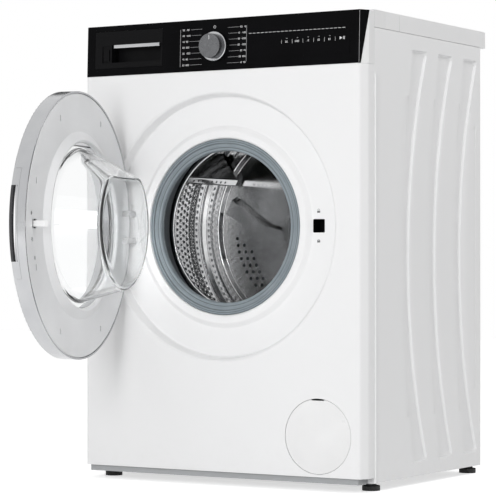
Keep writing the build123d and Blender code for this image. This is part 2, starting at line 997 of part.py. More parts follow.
def handle_space(gap):
    """Clears the place of the handle insert at the free edge."""
    block(
        handle_inner_radius - gap,
        door_radius + 5,
        door_front_depth - 1,
        handle_back_depth + gap,
        axis_z - handle_half_height - gap,
        axis_z + handle_half_height + gap,
        mode=Mode.SUBTRACT,
    )


def door_handle():
    """The insert at the free edge with a finger pocket and a slot through the band."""
    with BuildPart() as insert:
        disc(0, axis_z, door_radius, door_front_depth, handle_back_depth)
        fillet(insert.faces().sort_by(Axis.Y)[0].edges(), radius=2.8)
        block(
            handle_inner_radius,
            door_radius + 5,
            door_front_depth - 1,
            handle_back_depth + 1,
            axis_z - handle_half_height,
            axis_z + handle_half_height,
            mode=Mode.INTERSECT,
        )
        block(
            handle_inner_radius + 5,
            door_radius + 5,
            door_front_depth - 1,
            handle_back_depth - 2.5,
            axis_z - slot_half_height,
            axis_z + slot_half_height,
            mode=Mode.SUBTRACT,
        )
    return insert.part


def door_grip_bar():
    """The dark bar that the fingers hook behind."""
    with BuildPart() as bar:
        with BuildSketch(facing(door_front_depth + grip_depth + 0.4, 0, axis_z)):
            Circle(door_radius - 0.4)
            Circle(door_radius - 0.4 - grip_width, mode=Mode.SUBTRACT)
        extrude(amount=grip_depth)
        block(
            handle_inner_radius,
            door_radius + 5,
            door_front_depth - 1,
            handle_back_depth,
            axis_z - slot_half_height + seat_gap / 2,
            axis_z + slot_half_height - seat_gap / 2,
            mode=Mode.INTERSECT,
        )
    return bar.part


def door_inner_frame():
    """The plastic inner face with its raised lip round the glass, small slots and a hook slot."""
    half = frame_sheet / 2
    rim = door_radius - door_wall - seat_gap - half
    with BuildPart() as frame:
        with BuildSketch(drum_section):
            with BuildLine():
                FilletPolyline(
                    (rim, door_front_depth + door_wall + 2),
                    (rim, door_back_depth - half - 0.4),
                    (door_radius - 12, door_back_depth - half),
                    (frame_lip_radius + 15, door_back_depth - half),
                    (frame_lip_radius, frame_lip_depth - half),
                    (frame_lip_radius - 3, frame_lip_depth - half - 2),
                    (frame_lip_radius - 3, glass_seat_depth + 6.5),
                    radius=1.6,
                )
            trace(line_width=frame_sheet)
        revolve(axis=drum_axis)
        hinge_notches()
        handle_space(seat_gap)
        with BuildSketch(facing(door_back_depth + 1, hook_x, axis_z)):
            Rectangle(18, 16)
        extrude(amount=2 * frame_sheet, mode=Mode.SUBTRACT)
        with BuildSketch(facing(door_back_depth + 1, 0, axis_z)):
            for angle in (64, 116, 244, 296, 21, 339):
                with Locations((204 * cos(radians(angle)), 204 * sin(radians(angle)))):
                    SlotOverall(11, 3, rotation=90)
        extrude(amount=2 * frame_sheet, mode=Mode.SUBTRACT)
        with BuildSketch(facing(door_back_depth + 1, 0, axis_z)):
            with Locations(*screw_places):
                Circle(screw_radius + 0.4)
        extrude(amount=2 * frame_sheet, mode=Mode.SUBTRACT)
    return frame.part


def door_screws():
    """The three screws beside the hook."""
    with BuildPart() as screws:
        with BuildSketch(facing(door_back_depth - 0.6, 0, axis_z)):
            with Locations(*screw_places):
                Circle(screw_radius)
        extrude(amount=1.6)
        with BuildSketch(facing(door_back_depth - 2.2, 0, axis_z)):
            with Locations(*screw_places):
                Circle(1.8)
        extrude(amount=7)
        with BuildSketch(facing(door_back_depth - 0.6, 0, axis_z)):
            with Locations(*screw_places):
                Rectangle(3.6, 0.9)
                Rectangle(0.9, 3.6)
        extrude(amount=0.8, mode=Mode.SUBTRACT)
    return screws.part


def bowl_wall(start, root_depth, shrink):
    """The bowl's side and domed end in section, closed along the axis."""
    root = glass_root_radius - shrink
    end = glass_end_radius - shrink
    crown = glass_crown_depth - shrink
    corner = end - glass_corner
    with BuildLine() as wall:
        Line((0, start), (root, start))
        Line((root, start), (root, root_depth))
        Line((root, root_depth), (end, glass_end_depth))
        ThreePointArc(
            (end, glass_end_depth),
            (end - 0.3 * glass_corner, (glass_end_depth + crown - 5) / 2 + 3),
            (corner, crown - 5),
        )
        ThreePointArc((corner, crown - 5), (corner / 2, crown - 1.2), (0, crown))
        Line((0, crown), (0, start))
    make_face(wall.edges())


def bowl_body(start, shrink):
    """The bowl filled in, drawn in by a wall thickness and cut by its slanting flat."""
    with BuildPart() as bowl:
        with BuildSketch(drum_section):
            bowl_wall(start, glass_seat_depth + 10, shrink)
        revolve(axis=drum_axis)
        split(bisect_by=bowl_facet(shrink), keep=Keep.BOTTOM)
    return bowl.part


def bowl_facet(shrink):
    """The slanting flat across the top of the bowl."""
    rise = bowl_facet_drop / (glass_end_depth - glass_seat_depth)
    lean = sqrt(1 + rise**2)
    start = axis_z + glass_root_radius + 1 - shrink * lean
    depth = front_y + glass_seat_depth + 10
    return Plane(origin=(0, depth, start), x_dir=(1, 0, 0), z_dir=(0, rise / lean, 1 / lean))


def door_glass():
    """The clear glass bowl, flanged at its root and flattened at the top."""
    outside = bowl_body(glass_seat_depth, 0)
    inside = bowl_body(glass_seat_depth - 1, glass_wall)
    with BuildPart() as glass:
        add(outside)
        disc(0, axis_z, glass_flange_radius, glass_seat_depth, glass_seat_depth + glass_wall)
        add(inside, mode=Mode.SUBTRACT)
    return glass.part


def latch_hook():
    """The white hook that drops into the lock."""
    tip = door_back_depth + hook_length
    with BuildPart() as hook:
        with BuildSketch(Plane.XY.offset(axis_z - 5)):
            with BuildLine():
                Polyline(
                    (hook_x - 4, front_y + door_back_depth - 6),
                    (hook_x + 4, front_y + door_back_depth - 6),
                    (hook_x + 4, front_y + tip - 5),
                    (hook_x, front_y + tip),
                    (hook_x - 8, front_y + tip - 8),
                    (hook_x - 8, front_y + tip - 10),
                    (hook_x - 4, front_y + tip - 10),
                    close=True,
                )
            make_face()
            with Locations((hook_x, front_y + door_back_depth - 6)):
                Circle(4.6)
        extrude(amount=10)
        with BuildSketch(Plane.XY.offset(axis_z - 8)):
            with Locations((hook_x, front_y + door_back_depth - 6)):
                Circle(hook_pin_radius + stud_clearance)
        extrude(amount=16, mode=Mode.SUBTRACT)
    return hook.part


def hook_pin():
    """The steel pin of the hook with its two ears, screwed behind the inner frame."""
    pivot = door_back_depth - 6
    with BuildPart() as pin:
        for side in (-1, 1):
            block(
                hook_x - 5,
                hook_x + 5,
                pivot - 5,
                pivot + 3,
                *sorted((axis_z + side * 5.6, axis_z + side * 8.6)),
            )
        block(hook_x - 5, hook_x + 5, pivot - 8, pivot - 5, axis_z - 8.6, axis_z + 8.6)
        post(hook_x, pivot, hook_pin_radius, axis_z - 6, axis_z + 6)
    return pin.part


def hinge_arm():
    """The door's half of the hinge: a knuckle and a plate inside the ring."""
    reach = lug_offset - lug_thickness / 2 - seat_gap
    plate = hinge_x + lug_sweep + 2
    half = hinge_plate / 2
    foot_end = door_back_depth - frame_sheet - seat_gap
    with BuildPart() as arm:
        post(hinge_x, hinge_depth, lug_half_width, axis_z - reach, axis_z + reach)
        block(hinge_x, plate + 1, hinge_depth - half, hinge_depth + half, axis_z - reach, axis_z + reach)
        end = plate + hinge_foot_width
        low = axis_z - hinge_foot_reach
        high = axis_z + hinge_foot_reach
        block(plate, end, hinge_depth - half, hinge_depth + half, low, high)
        for side in (-1, 1):
            low = axis_z + side * hinge_foot_offset - hinge_foot_half
            high = axis_z + side * hinge_foot_offset + hinge_foot_half
            block(plate + 1, end - 1, hinge_depth, foot_end, low, high)
            front = door_front_depth + door_wall + seat_gap
            block(plate + 1, end - 1, front, hinge_depth, low, high)
        post(
            hinge_x,
            hinge_depth,
            hinge_pin_radius + hinge_running_gap,
            axis_z - reach - 1,
            axis_z + reach + 1,
            mode=Mode.SUBTRACT,
        )
    return arm.part


def bent_arm(low, end_depth):
    """One bent arm of the bracket, from its root in the dish to the hinge's axis."""
    root = hinge_x + lug_elbow_offset
    half = lug_strip / 2
    with BuildSketch(Plane.XY.offset(low)) as plan:
        with BuildLine() as run:
            Polyline(
                (hinge_x, front_y + hinge_depth),
                (root, front_y + lug_elbow_depth),
                (root, front_y + end_depth),
            )
        trace(run.line, line_width=lug_strip)
        with Locations((hinge_x, front_y + hinge_depth)):
            Circle(lug_half_width)
        with Locations((root, front_y + lug_elbow_depth)):
            Circle(half)
    extrude(plan.sketch, amount=lug_thickness)


def hinge_bracket():
    """The cabinet's half of the hinge: a plate behind the dish with two bent arms and the pin."""
    plate = dish_depth + sheet + seat_gap
    root = hinge_x + lug_elbow_offset
    reach = lug_offset + lug_thickness / 2
    with BuildPart() as bracket:
        low = axis_z - bracket_half_height
        high = axis_z + bracket_half_height
        block(root - bracket_half_width, root + bracket_half_width, plate, plate + hinge_plate, low, high)
        for side in (-1, 1):
            bent_arm(axis_z + side * lug_offset - lug_thickness / 2, plate + 1)
        post(hinge_x, hinge_depth, hinge_pin_radius, axis_z - reach, axis_z + reach)
    return bracket.part


def door_lock():
    """The lock behind the latch hole, with the pocket that takes the hook."""
    start = dish_depth + sheet + seat_gap
    half = latch_width / 2
    with BuildPart() as lock:
        low = axis_z - lock_half_height
        high = axis_z + lock_half_height
        pocket = start + lock_pocket_depth
        block(latch_x - half - 5, latch_x + half + 10, start, start + lock_depth, low, high)
        block(
            latch_x - half,
            latch_x + half,
            start - 1,
            pocket,
            axis_z - half,
            axis_z + half,
            mode=Mode.SUBTRACT,
        )
    return lock.part


# Seal between the front panel and the tub


def gasket():
    """The folded rubber seal: front bead, sealing lip, one bellows fold and a loose skirt."""
    skirt_radius = neck_radius + collar_wall + bounce + 1 + gasket_wall / 2
    with BuildPart() as seal:
        with BuildSketch(drum_section):
            with BuildLine():
                FilletPolyline(
                    (porthole_radius - 4.5, collar_depth + 5.5),
                    (147, collar_depth + 7.5),
                    (138.9, collar_depth + 9),
                    (140.5, collar_depth + 20),
                    (150.0, collar_depth + 30),
                    (skirt_radius, tub_front_depth - 22),
                    (skirt_radius, tub_front_depth - 6),
                    radius=2.0,
                )
            trace(line_width=gasket_wall)
            with BuildLine():
                Polyline(
                    (porthole_radius - 6.5, collar_depth + 3.2),
                    (porthole_radius - 2.2, collar_depth + 3.2),
                    (porthole_radius - seat_gap, collar_depth + 6),
                    (porthole_radius - seat_gap, hem_depth),
                    (porthole_radius - 6.5, hem_depth),
                    close=True,
                )
            make_face()
        revolve(axis=drum_axis)
    return seal.part


def gasket_collar():
    """The seal's rear collar, clamped on the tub's neck inside the skirt."""
    start = tub_front_depth - neck_length
    with BuildPart() as collar:
        turned(
            [
                (neck_radius + 0.1, start),
                (neck_radius + collar_wall, start),
                (neck_radius + collar_wall, start + 3),
                (neck_radius + collar_wall - 1.2, start + 4),
                (neck_radius + collar_wall - 1.2, start + 8),
                (neck_radius + collar_wall, start + 9),
                (neck_radius + collar_wall, tub_front_depth - seat_gap),
                (neck_radius + 0.1, tub_front_depth - seat_gap),
            ]
        )
    return collar.part


# Tub, drum and drive


def turned(points):
    """A closed outline of radius and depth, turned about the drum's axis."""
    with BuildSketch(drum_section) as outline:
        with BuildLine():
            Polyline(*points, close=True)
        make_face()
    revolve(outline.sketch, axis=drum_axis)


def tub_front():
    """The front half of the tub with its neck."""
    inner = tub_radius - tub_wall
    neck = neck_radius - tub_wall
    front = tub_front_depth
    split_at = tub_split_depth - seat_gap / 2
    with BuildPart() as shell:
        turned(
            [
                (neck, front - neck_length),
                (neck_radius, front - neck_length),
                (neck_radius, front),
                (tub_radius, front),
                (tub_radius, split_at - tub_flange),
                (tub_radius + tub_flange, split_at - tub_flange),
                (tub_radius + tub_flange, split_at),
                (inner, split_at),
                (inner, front + tub_wall),
                (neck, front + tub_wall),
            ]
        )
        post(sump_x, sump_depth, sump_bore - seat_gap, sump_top - 16, axis_z - 100)
        post(sump_x, sump_depth, sump_bore - 3, sump_top - 17, axis_z, mode=Mode.SUBTRACT)
        disc(0, axis_z, inner, front + tub_wall, split_at + 1, mode=Mode.SUBTRACT)
        rims = shell.edges().filter_by(GeomType.CIRCLE).filter_by(lambda e: abs(e.radius - tub_radius) < 0.1)
        fillet(rims.sort_by(Axis.Y)[0], radius=12)
    return shell.part


def tub_rear():
    """The rear half of the tub with its hub, stiffening ribs, spring lugs and feet for the motor."""
    inner = tub_radius - tub_wall
    start = tub_split_depth + seat_gap / 2
    back = tub_back_depth
    hub_end = back + hub_length
    with BuildPart() as shell:
        turned(
            [
                (inner, start),
                (tub_radius + tub_flange, start),
                (tub_radius + tub_flange, start + tub_flange),
                (tub_radius, start + tub_flange),
                (tub_radius, back + tub_wall),
                (hub_radius, back + tub_wall),
                (hub_radius, hub_end),
                (bearing_radius + seat_gap / 3, hub_end),
                (bearing_radius + seat_gap / 3, back + 2),
                (shaft_radius + 4, back + 2),
                (shaft_radius + 4, back),
                (inner, back),
            ]
        )
        with BuildSketch(facing(back + tub_wall + 14, 0, axis_z)):
            with PolarLocations((hub_radius + tub_radius) / 2 - 4, 12):
                Rectangle(tub_radius - hub_radius - 10, 4)
        extrude(amount=15)
        for side in (-1, 1):
            block(
                *sorted((side * 222, side * spring_x)),
                start,
                start + tub_flange,
                lower_eye - eye_radius,
                lower_eye,
            )
            block(
                *sorted((side * (damper_x - 18), side * (damper_x + 18))),
                start,
                start + tub_flange + 8,
                damper_lug_bottom,
                axis_z - sqrt(inner**2 - (damper_x - 18) ** 2) - 1,
            )
        for depth in motor_mounts:
            block(
                motor_x - 34,
                motor_x + 34,
                depth,
                depth + 14,
                motor_z + motor_radius + 10,
                axis_z - sqrt(inner**2 - (motor_x - 34) ** 2) - 1,
            )
        for side in (-1, 1):
            spring_eye(side * spring_x, lower_eye)
        disc(0, axis_z, inner, start - 5, back, mode=Mode.SUBTRACT)
        block(
            -heater_half_width - seat_gap,
            heater_half_width + seat_gap,
            back - 1,
            back + 30,
            heater_z - 9 - seat_gap,
            heater_z + 9 + seat_gap,
            mode=Mode.SUBTRACT,
        )
    return shell.part


def balance_weights():
    """Two cast weights that steady the tub: a half ring on the front and a block on top."""
    outer = tub_radius - 8
    with BuildPart() as weights:
        with BuildSketch(facing(tub_front_depth - seat_gap, 0, axis_z)):
            Circle(outer)
            Circle(neck_radius + 20, mode=Mode.SUBTRACT)
            with Locations((0, tub_radius / 2 - 30)):
                Rectangle(2 * tub_radius, tub_radius + 60, mode=Mode.SUBTRACT)
        extrude(amount=26)
        low = axis_z + tub_radius - 14
        high = low + top_weight_height
        block(-top_weight_half, top_weight_half, top_weight_start, top_weight_end, low, high)
        disc(
            0,
            axis_z,
            tub_radius + seat_gap,
            top_weight_start - 1,
            top_weight_end + 1,
            mode=Mode.SUBTRACT,
        )
    return weights.part


def drum_bearings():
    """The two ball bearings in the tub's hub, each as one ring."""
    start = tub_back_depth + 2 + seat_gap
    with BuildPart() as bearings:
        for depth in (start, tub_back_depth + hub_length - bearing_width - 0.2):
            disc(0, axis_z, bearing_radius, depth, depth + bearing_width)
        disc(
            0,
            axis_z,
            shaft_radius + stud_clearance,
            start - 1,
            tub_back_depth + hub_length + 1,
            mode=Mode.SUBTRACT,
        )
    return bearings.part


def drum_shell():
    """The drum's cylinder."""
    with BuildPart() as shell:
        turned(
            [
                (drum_radius - drum_sheet, drum_front_depth + 8),
                (drum_radius, drum_front_depth + 8),
                (drum_radius, drum_back_depth - 4),
                (drum_radius - drum_sheet, drum_back_depth - 4),
            ]
        )
    return shell.part


def drum_front():
    """The drum's front with its rolled mouth."""
    with BuildPart() as front:
        with BuildSketch(drum_section):
            with BuildLine():
                FilletPolyline(
                    (drum_radius - drum_sheet / 2, drum_front_depth + 8 - seat_gap),
                    (drum_radius - drum_sheet / 2, drum_front_depth + drum_sheet / 2),
                    (drum_mouth_radius + 14, drum_front_depth + drum_sheet / 2),
                    (drum_mouth_radius + 8, drum_front_depth - 4),
                    (drum_mouth_radius + hoop_wire, drum_front_depth - 4),
                    radius=2.5,
                )
            trace(line_width=drum_sheet)
            with Locations((drum_mouth_radius + hoop_wire, drum_front_depth - 3)):
                Circle(hoop_wire)
        revolve(axis=drum_axis)
    return front.part


def drum_back():
    """The pressed back of the drum: edge channel, three raised arms and groups of holes."""
    depth = drum_back_depth
    with BuildPart() as back:
        with BuildSketch(drum_section):
            with BuildLine():
                FilletPolyline(
                    (shaft_radius, depth),
                    (190, depth),
                    (197, depth - 8),
                    (211, depth - 8),
                    (220, depth + 2),
                    (231, depth + 2),
                    (drum_radius - 2 * drum_sheet, depth - 4),
                    (drum_radius - 2 * drum_sheet, depth - 12),
                    radius=3,
                )
            trace(line_width=drum_sheet)
        revolve(axis=drum_axis)
        with BuildSketch(facing(depth, 0, axis_z)):
            drum_arms(0)
        extrude(amount=arm_height, taper=arm_taper)
        with BuildSketch(facing(depth + drum_sheet, 0, axis_z)):
            drum_arms(-2)
        extrude(amount=arm_height - drum_sheet, taper=arm_taper, mode=Mode.SUBTRACT)
        with BuildSketch(facing(depth + 2, 0, axis_z)):
            for arm in range(arm_count):
                with Locations(*back_hole_places(radians(arm * 360 / arm_count))):
                    Circle(back_hole_radius)
        extrude(amount=4, mode=Mode.SUBTRACT)
    return back.part


def back_hole_places(turn):
    """The holes beside one arm: rows of three that start on an arc, turned about the axis."""
    places = []
    for row in range(back_hole_rows):
        z = -back_hole_start - back_hole_pitch_z * row
        for column in range(min(row + 1, 3)):
            x = back_hole_pitch_x * column - sqrt(back_hole_arc**2 - z**2)
            places.append((x * cos(turn) - z * sin(turn), x * sin(turn) + z * cos(turn)))
    return places


def lifter_sections(wall):
    """The ribs in section, drawn in by a wall."""
    base = lifter_base / 2 - 1.1 * wall
    crest = lifter_crest / 2 - 0.65 * wall
    low = drum_radius + 3
    high = drum_radius - lifter_height + wall
    for index in range(lifter_count):
        with BuildLine(Rot(0, 0, lifter_first_angle + index * 360 / lifter_count)) as section:
            FilletPolyline((low, -base), (high, -crest), (high, crest), (low, base), radius=4 - wall)
            Line((low, base), (low, -base))
        make_face(section.edges())


def spoke(arm):
    """The place of one arm's plan, drawn along X: turned about the axis and set beside it."""
    return Rot(0, 0, arm_first_angle + arm * 360 / arm_count) * Pos(0, arm_offset, 0)


def drum_arms(growth):
    """The arms in plan, waisted between the hub and the rim, joined by a round hub."""
    hub = arm_hub_half + growth
    tip = arm_tip_half + growth
    for arm in range(arm_count):
        with BuildLine(spoke(arm)) as plan:
            Polyline(
                (arm_start, -hub),
                (arm_waist_place, arm_waist_inset - hub),
                (arm_length + growth, -tip),
                (arm_length + growth, tip),
                (arm_start, hub),
                close=True,
            )
        make_face(plan.edges())
    Circle(arm_hub_radius + growth)


def drum_lifters():
    """Three hollow ribs along the drum's wall, each with a row of holes."""
    start = drum_front_depth + 24
    end = drum_back_depth - 14
    bed = drum_radius - drum_sheet - seat_gap / 3
    with BuildPart() as lifters:
        with BuildSketch(facing(end, 0, axis_z)):
            lifter_sections(0)
        extrude(amount=end - start)
        with BuildSketch(facing(end - lifter_wall, 0, axis_z)):
            lifter_sections(lifter_wall)
        extrude(amount=end - start - 2 * lifter_wall, mode=Mode.SUBTRACT)
        disc(0, axis_z, bed, start - 1, end + 1, mode=Mode.INTERSECT)
        for index in range(lifter_count):
            turn = lifter_first_angle + index * 360 / lifter_count
            outward = (cos(radians(turn)), 0, sin(radians(turn)))
            crest = Plane(origin=(0, front_y, axis_z), x_dir=(0, 1, 0), z_dir=outward)
            with BuildSketch(crest.offset(drum_radius - lifter_height - 1)):
                with Locations(((start + end) / 2, 0)):
                    with GridLocations(16, 1, 8, 1):
                        Circle(2.5)
            extrude(amount=6, mode=Mode.SUBTRACT)
    return lifters.part


def drum_spider():
    """The cast three-armed carrier behind the drum, with its shaft."""
    start = drum_back_depth + drum_sheet + seat_gap
    rib_middle = arm_waist_inset / 2
    rib_half = arm_hub_half - arm_waist_inset / 2 - 8
    with BuildPart() as spider:
        with BuildSketch(facing(start + 12, 0, axis_z)):
            for arm in range(arm_count):
                with BuildLine(spoke(arm)):
                    Polyline((0, -24), (214, -13), (214, 13), (0, 24), close=True)
                make_face()
            Circle(40)
        extrude(amount=9)
        with BuildSketch(facing(start + 4, 0, axis_z)):
            for arm in range(arm_count):
                with BuildLine(spoke(arm)):
                    Polyline(
                        (arm_start + 8, rib_middle - rib_half),
                        (arm_length - 10, rib_middle - rib_half),
                        (arm_length - 10, rib_middle + rib_half),
                        (arm_start + 8, rib_middle + rib_half),
                        close=True,
                    )
                make_face()
        extrude(amount=start + 4 - seat_gap - (drum_back_depth + 2 * drum_sheet - arm_height))
        disc(0, axis_z, 30, start, tub_back_depth - 2)
        disc(0, axis_z, shaft_radius, start, pulley_end + 4)
    return spider.part


def drum_pulley():
    """The large belt pulley with six spokes."""
    with BuildPart() as pulley:
        with BuildSketch(facing(pulley_end, 0, axis_z)):
            Circle(pulley_radius)
            Circle(pulley_radius - 9, mode=Mode.SUBTRACT)
            Circle(24)
            with PolarLocations((pulley_radius - 9 + 24) / 2 - 1, 6):
                Rectangle(pulley_radius - 30, 12)
            Circle(shaft_radius + 0.1, mode=Mode.SUBTRACT)
        extrude(amount=pulley_width)
    return pulley.part


def drive_belt():
    """The belt round both pulleys, drawn taut between them."""
    small = motor_pulley_radius + belt_gap
    large = pulley_radius + belt_gap
    with BuildPart() as belt:
        with BuildSketch(facing(pulley_end - 2)):
            belt_loop(large + belt_thickness, small + belt_thickness)
            belt_loop(large, small, mode=Mode.SUBTRACT)
        extrude(amount=pulley_width - 4)
    return belt.part


def belt_loop(large, small, mode=Mode.ADD):
    """The outline of a band round two circles."""
    run_x = motor_x
    run_z = motor_z - axis_z
    length = sqrt(run_x**2 + run_z**2)
    lean = (large - small) / length
    spread = sqrt(1 - lean**2)
    ahead = (run_x / length, run_z / length)
    across = (-ahead[1], ahead[0])
    ends = []
    for side in (1, -1):
        normal = (
            ahead[0] * lean + side * across[0] * spread,
            ahead[1] * lean + side * across[1] * spread,
        )
        ends.append((normal[0] * large, axis_z + normal[1] * large))
        ends.append((motor_x + normal[0] * small, motor_z + normal[1] * small))
    with BuildLine() as band:
        Line(ends[0], ends[1])
        ThreePointArc(ends[1], (motor_x + ahead[0] * small, motor_z + ahead[1] * small), ends[3])
        Line(ends[3], ends[2])
        ThreePointArc(ends[2], (-ahead[0] * large, axis_z - ahead[1] * large), ends[0])
    make_face(band.edges(), mode=mode)


def motor_stator():
    """The motor's body with its two straps to the tub."""
    start = motor_mounts[0] - 12
    end = start + motor_length
    with BuildPart() as body:
        disc(motor_x, motor_z, motor_radius, start, end)
        fillet(body.edges().filter_by(GeomType.CIRCLE), radius=6)
        for depth in motor_mounts:
            block(
                motor_x - 34,
                motor_x + 34,
                depth + 2,
                depth + 12,
                motor_z,
                motor_z + motor_radius + 10 - seat_gap,
            )
        disc(motor_x, motor_z, 8 + stud_clearance, start + 10, end + 1, mode=Mode.SUBTRACT)
    return body.part


def motor_rotor():
    """The motor's shaft with its small belt pulley."""
    start = motor_mounts[0]
    with BuildPart() as rotor:
        disc(motor_x, motor_z, 8, start, pulley_end)
        disc(motor_x, motor_z, motor_pulley_radius, pulley_start, pulley_end)
        disc(motor_x, motor_z, motor_pulley_radius + 4, pulley_start - 2, pulley_start)
    return rotor.part


def heater():
    """The heating loop in the bottom of the tub, on its rubber plug."""
    radius = 4.0
    half = 20.0
    start = tub_split_depth + 20
    back = tub_back_depth
    with BuildPart() as loop:
        with BuildLine() as path:
            FilletPolyline(
                (-half, front_y + back + 2, heater_z),
                (-half, front_y + start, heater_z),
                (half, front_y + start, heater_z),
                (half, front_y + back + 2, heater_z),
                radius=12,
            )
        with BuildSketch(Plane(origin=path.line @ 0, z_dir=path.line % 0)):
            Circle(radius)
        sweep()
        block(-heater_half_width, heater_half_width, back - 3, back + 8, heater_z - 9, heater_z + 9)
    return loop.part


# Suspension


def suspension_springs():
    """Two coil springs with a hook at each end, from the rails to the tub."""
    with BuildPart() as springs:
        for side in (-1, 1):
            spring_coil(side * spring_x)
    return springs.part


def spring_coil(x):
    """One coil of half-turn arcs that climb steadily, with a crossbar and a ring at each end."""
    bottom = lower_eye + 2 * eye_ring_radius + spring_wire
    top = upper_eye - 2 * eye_ring_radius - spring_wire
    pitch = (top - bottom) / spring_coils
    y = front_y + spring_depth
    with BuildLine() as path:
        for step in range(2 * spring_coils):
            places = []
            for part_turn in (0, 0.5, 1):
                turn = pi * (step + part_turn)
                height = bottom + pitch * (step + part_turn) / 2
                across = spring_coil_radius * cos(turn)
                along = spring_coil_radius * sin(turn)
                places.append((x + across, y + along, height))
            ThreePointArc(*places)
    with BuildSketch(Plane(origin=path.line @ 0, z_dir=path.line % 0)) as wire:
        Circle(spring_wire)
    sweep(wire.sketch, path=path.line)
    for end, ring in ((bottom, lower_eye + eye_ring_radius), (top, upper_eye - eye_ring_radius)):
        with BuildSketch(Plane(origin=(x, y, end), z_dir=(1, 0, 0))) as bar:
            Circle(spring_wire)
        extrude(bar.sketch, amount=spring_coil_radius)
        with Locations(Plane(origin=(x, y, ring), z_dir=(1, 0, 0))):
            Torus(eye_ring_radius, spring_wire)
    print(f"least gap between turns {pitch - 2 * spring_wire:.2f} mm")


def damper_cylinders():
    """The two damper bodies that stand in the tray."""
    low = tray_bottom + damper_seat_height + seat_gap
    with BuildPart() as bodies:
        for side in (-1, 1):
            x = side * damper_x
            bore = damper_rod_radius + stud_clearance
            post(x, damper_depth, damper_radius, low, damper_body_top)
            post(x, damper_depth, bore, low + damper_bore_start, damper_body_top + 1, mode=Mode.SUBTRACT)
    return bodies.part


def damper_rods():
    """The two damper rods that hang from the tub."""
    with BuildPart() as rods:
        for side in (-1, 1):
            x = side * damper_x
            low = tray_bottom + damper_seat_height + damper_bore_start + 3 * bounce
            high = damper_lug_bottom - seat_gap
            post(x, damper_depth, damper_rod_radius, low, high)
            post(x, damper_depth, damper_radius, damper_lug_bottom - damper_eye_height, high)
    return rods.part


# Water path


def sump_hose():
    """The ribbed hose from the bottom of the tub to the pump."""
    bottom = sump_bottom + seat_gap
    with BuildPart() as hose:
        post(sump_x, sump_depth, sump_radius - 2, bottom, sump_top)
        for rib in range(sump_ribs):
            low = bottom + 20 + 10 * rib
            post(sump_x, sump_depth, sump_radius, low, low + 5)
        post(sump_x, sump_depth, sump_bore, bottom - 1, sump_top + 1, mode=Mode.SUBTRACT)
    return hose.part


def pump_body():
    """The filter chamber and the drain pump behind the round cover."""
    wall = pump_wall
    start = filter_start
    end = start + pump_length
    with BuildPart() as pump:
        disc(filter_x, filter_z, filter_bore + wall, start, end)
        disc(filter_x, filter_z, filter_bore + wall + 6, start, start + 4)
        post(sump_x, sump_depth, sump_radius, filter_z, sump_bottom)
        post(sump_x, sump_depth, sump_bore, filter_z, sump_bottom + 1, mode=Mode.SUBTRACT)
        disc(filter_x, filter_z, filter_bore, start - 1, start + 88, mode=Mode.SUBTRACT)
        disc(filter_x, filter_z, 24, start + 80, start + 100, mode=Mode.SUBTRACT)
        disc(filter_x, filter_z, 3 + stud_clearance, start + 99, start + 122, mode=Mode.SUBTRACT)
        block(
            filter_x - 16,
            filter_x + 16,
            side_seam_depth + pump_seat_near,
            side_seam_depth + pump_seat_far,
            filter_z - filter_bore - wall,
            filter_z - filter_bore - wall / 2,
        )
    return pump.part


def filter_plug():
    """The screw-in filter with a grip bar in front and a comb behind."""
    start = filter_start + 3
    with BuildPart() as plug:
        disc(filter_x, filter_z, plug_radius, start, start + 26)
        disc(filter_x, filter_z, plug_radius - 5, start - 1, start + 16, mode=Mode.SUBTRACT)
        grip = plug_radius - 4
        block(filter_x - grip, filter_x + grip, start, start + 17, filter_z - 4, filter_z + 4)
        for index in range(4):
            depth = start + 34 + 9 * index
            disc(filter_x, filter_z, plug_radius - 7, depth, depth + 3)
        block(filter_x - 5, filter_x + 5, start + 25, start + 62, filter_z - 5, filter_z + 5)
    return plug.part


def pump_impeller():
    """The pump's small wheel on its shaft."""
    start = filter_start + 90
    with BuildPart() as wheel:
        disc(filter_x, filter_z, 9, start, start + 8)
        with BuildSketch(facing(start + 8, filter_x, filter_z)):
            with PolarLocations(12, 4):
                Rectangle(16, 3)
        extrude(amount=8)
        disc(filter_x, filter_z, 3, start, start + 30)
    return wheel.part


def filter_cover():
    """The round cover that tips forward about its bottom edge, with a finger notch on top."""
    with BuildPart() as cover:
        disc(filter_x, filter_z, filter_cover_radius, 0, 2.6)
        fillet(cover.faces().sort_by(Axis.Y)[0].edges(), radius=0.8)
        with BuildSketch(facing(3, filter_x, filter_z + filter_cover_radius)):
            SlotOverall(28, 6)
        extrude(amount=4, mode=Mode.SUBTRACT)
    return cover.part


def inlet_valve():
    """The water valve with its threaded tail through the back."""
    back = side_back_depth - 2 * sheet - seat_gap
    with BuildPart() as valve:
        disc(inlet_x, inlet_z, inlet_thread_radius, back - 30, back + 18)
        disc(inlet_x, inlet_z, inlet_thread_radius + 8, back - 6, back - seat_gap)
        block(inlet_x - 18, inlet_x + 18, back - 70, back - 30, inlet_z - 20, inlet_z + 20)
        disc(inlet_x, inlet_z, inlet_thread_radius - 4, back - 20, back + 19, mode=Mode.SUBTRACT)
    return valve.part


def cord_gland():
    """The gland that the mains cord passes through."""
    back = side_back_depth - 2 * sheet - seat_gap
    with BuildPart() as gland:
        disc(-inlet_x, inlet_z, gland_radius, back - 8, back + 6)
        disc(-inlet_x, inlet_z, gland_radius + 3, back + sheet + 0.2, back + 5)
        disc(-inlet_x, inlet_z, gland_bore, back - 9, back + 7, mode=Mode.SUBTRACT)
    return gland.part


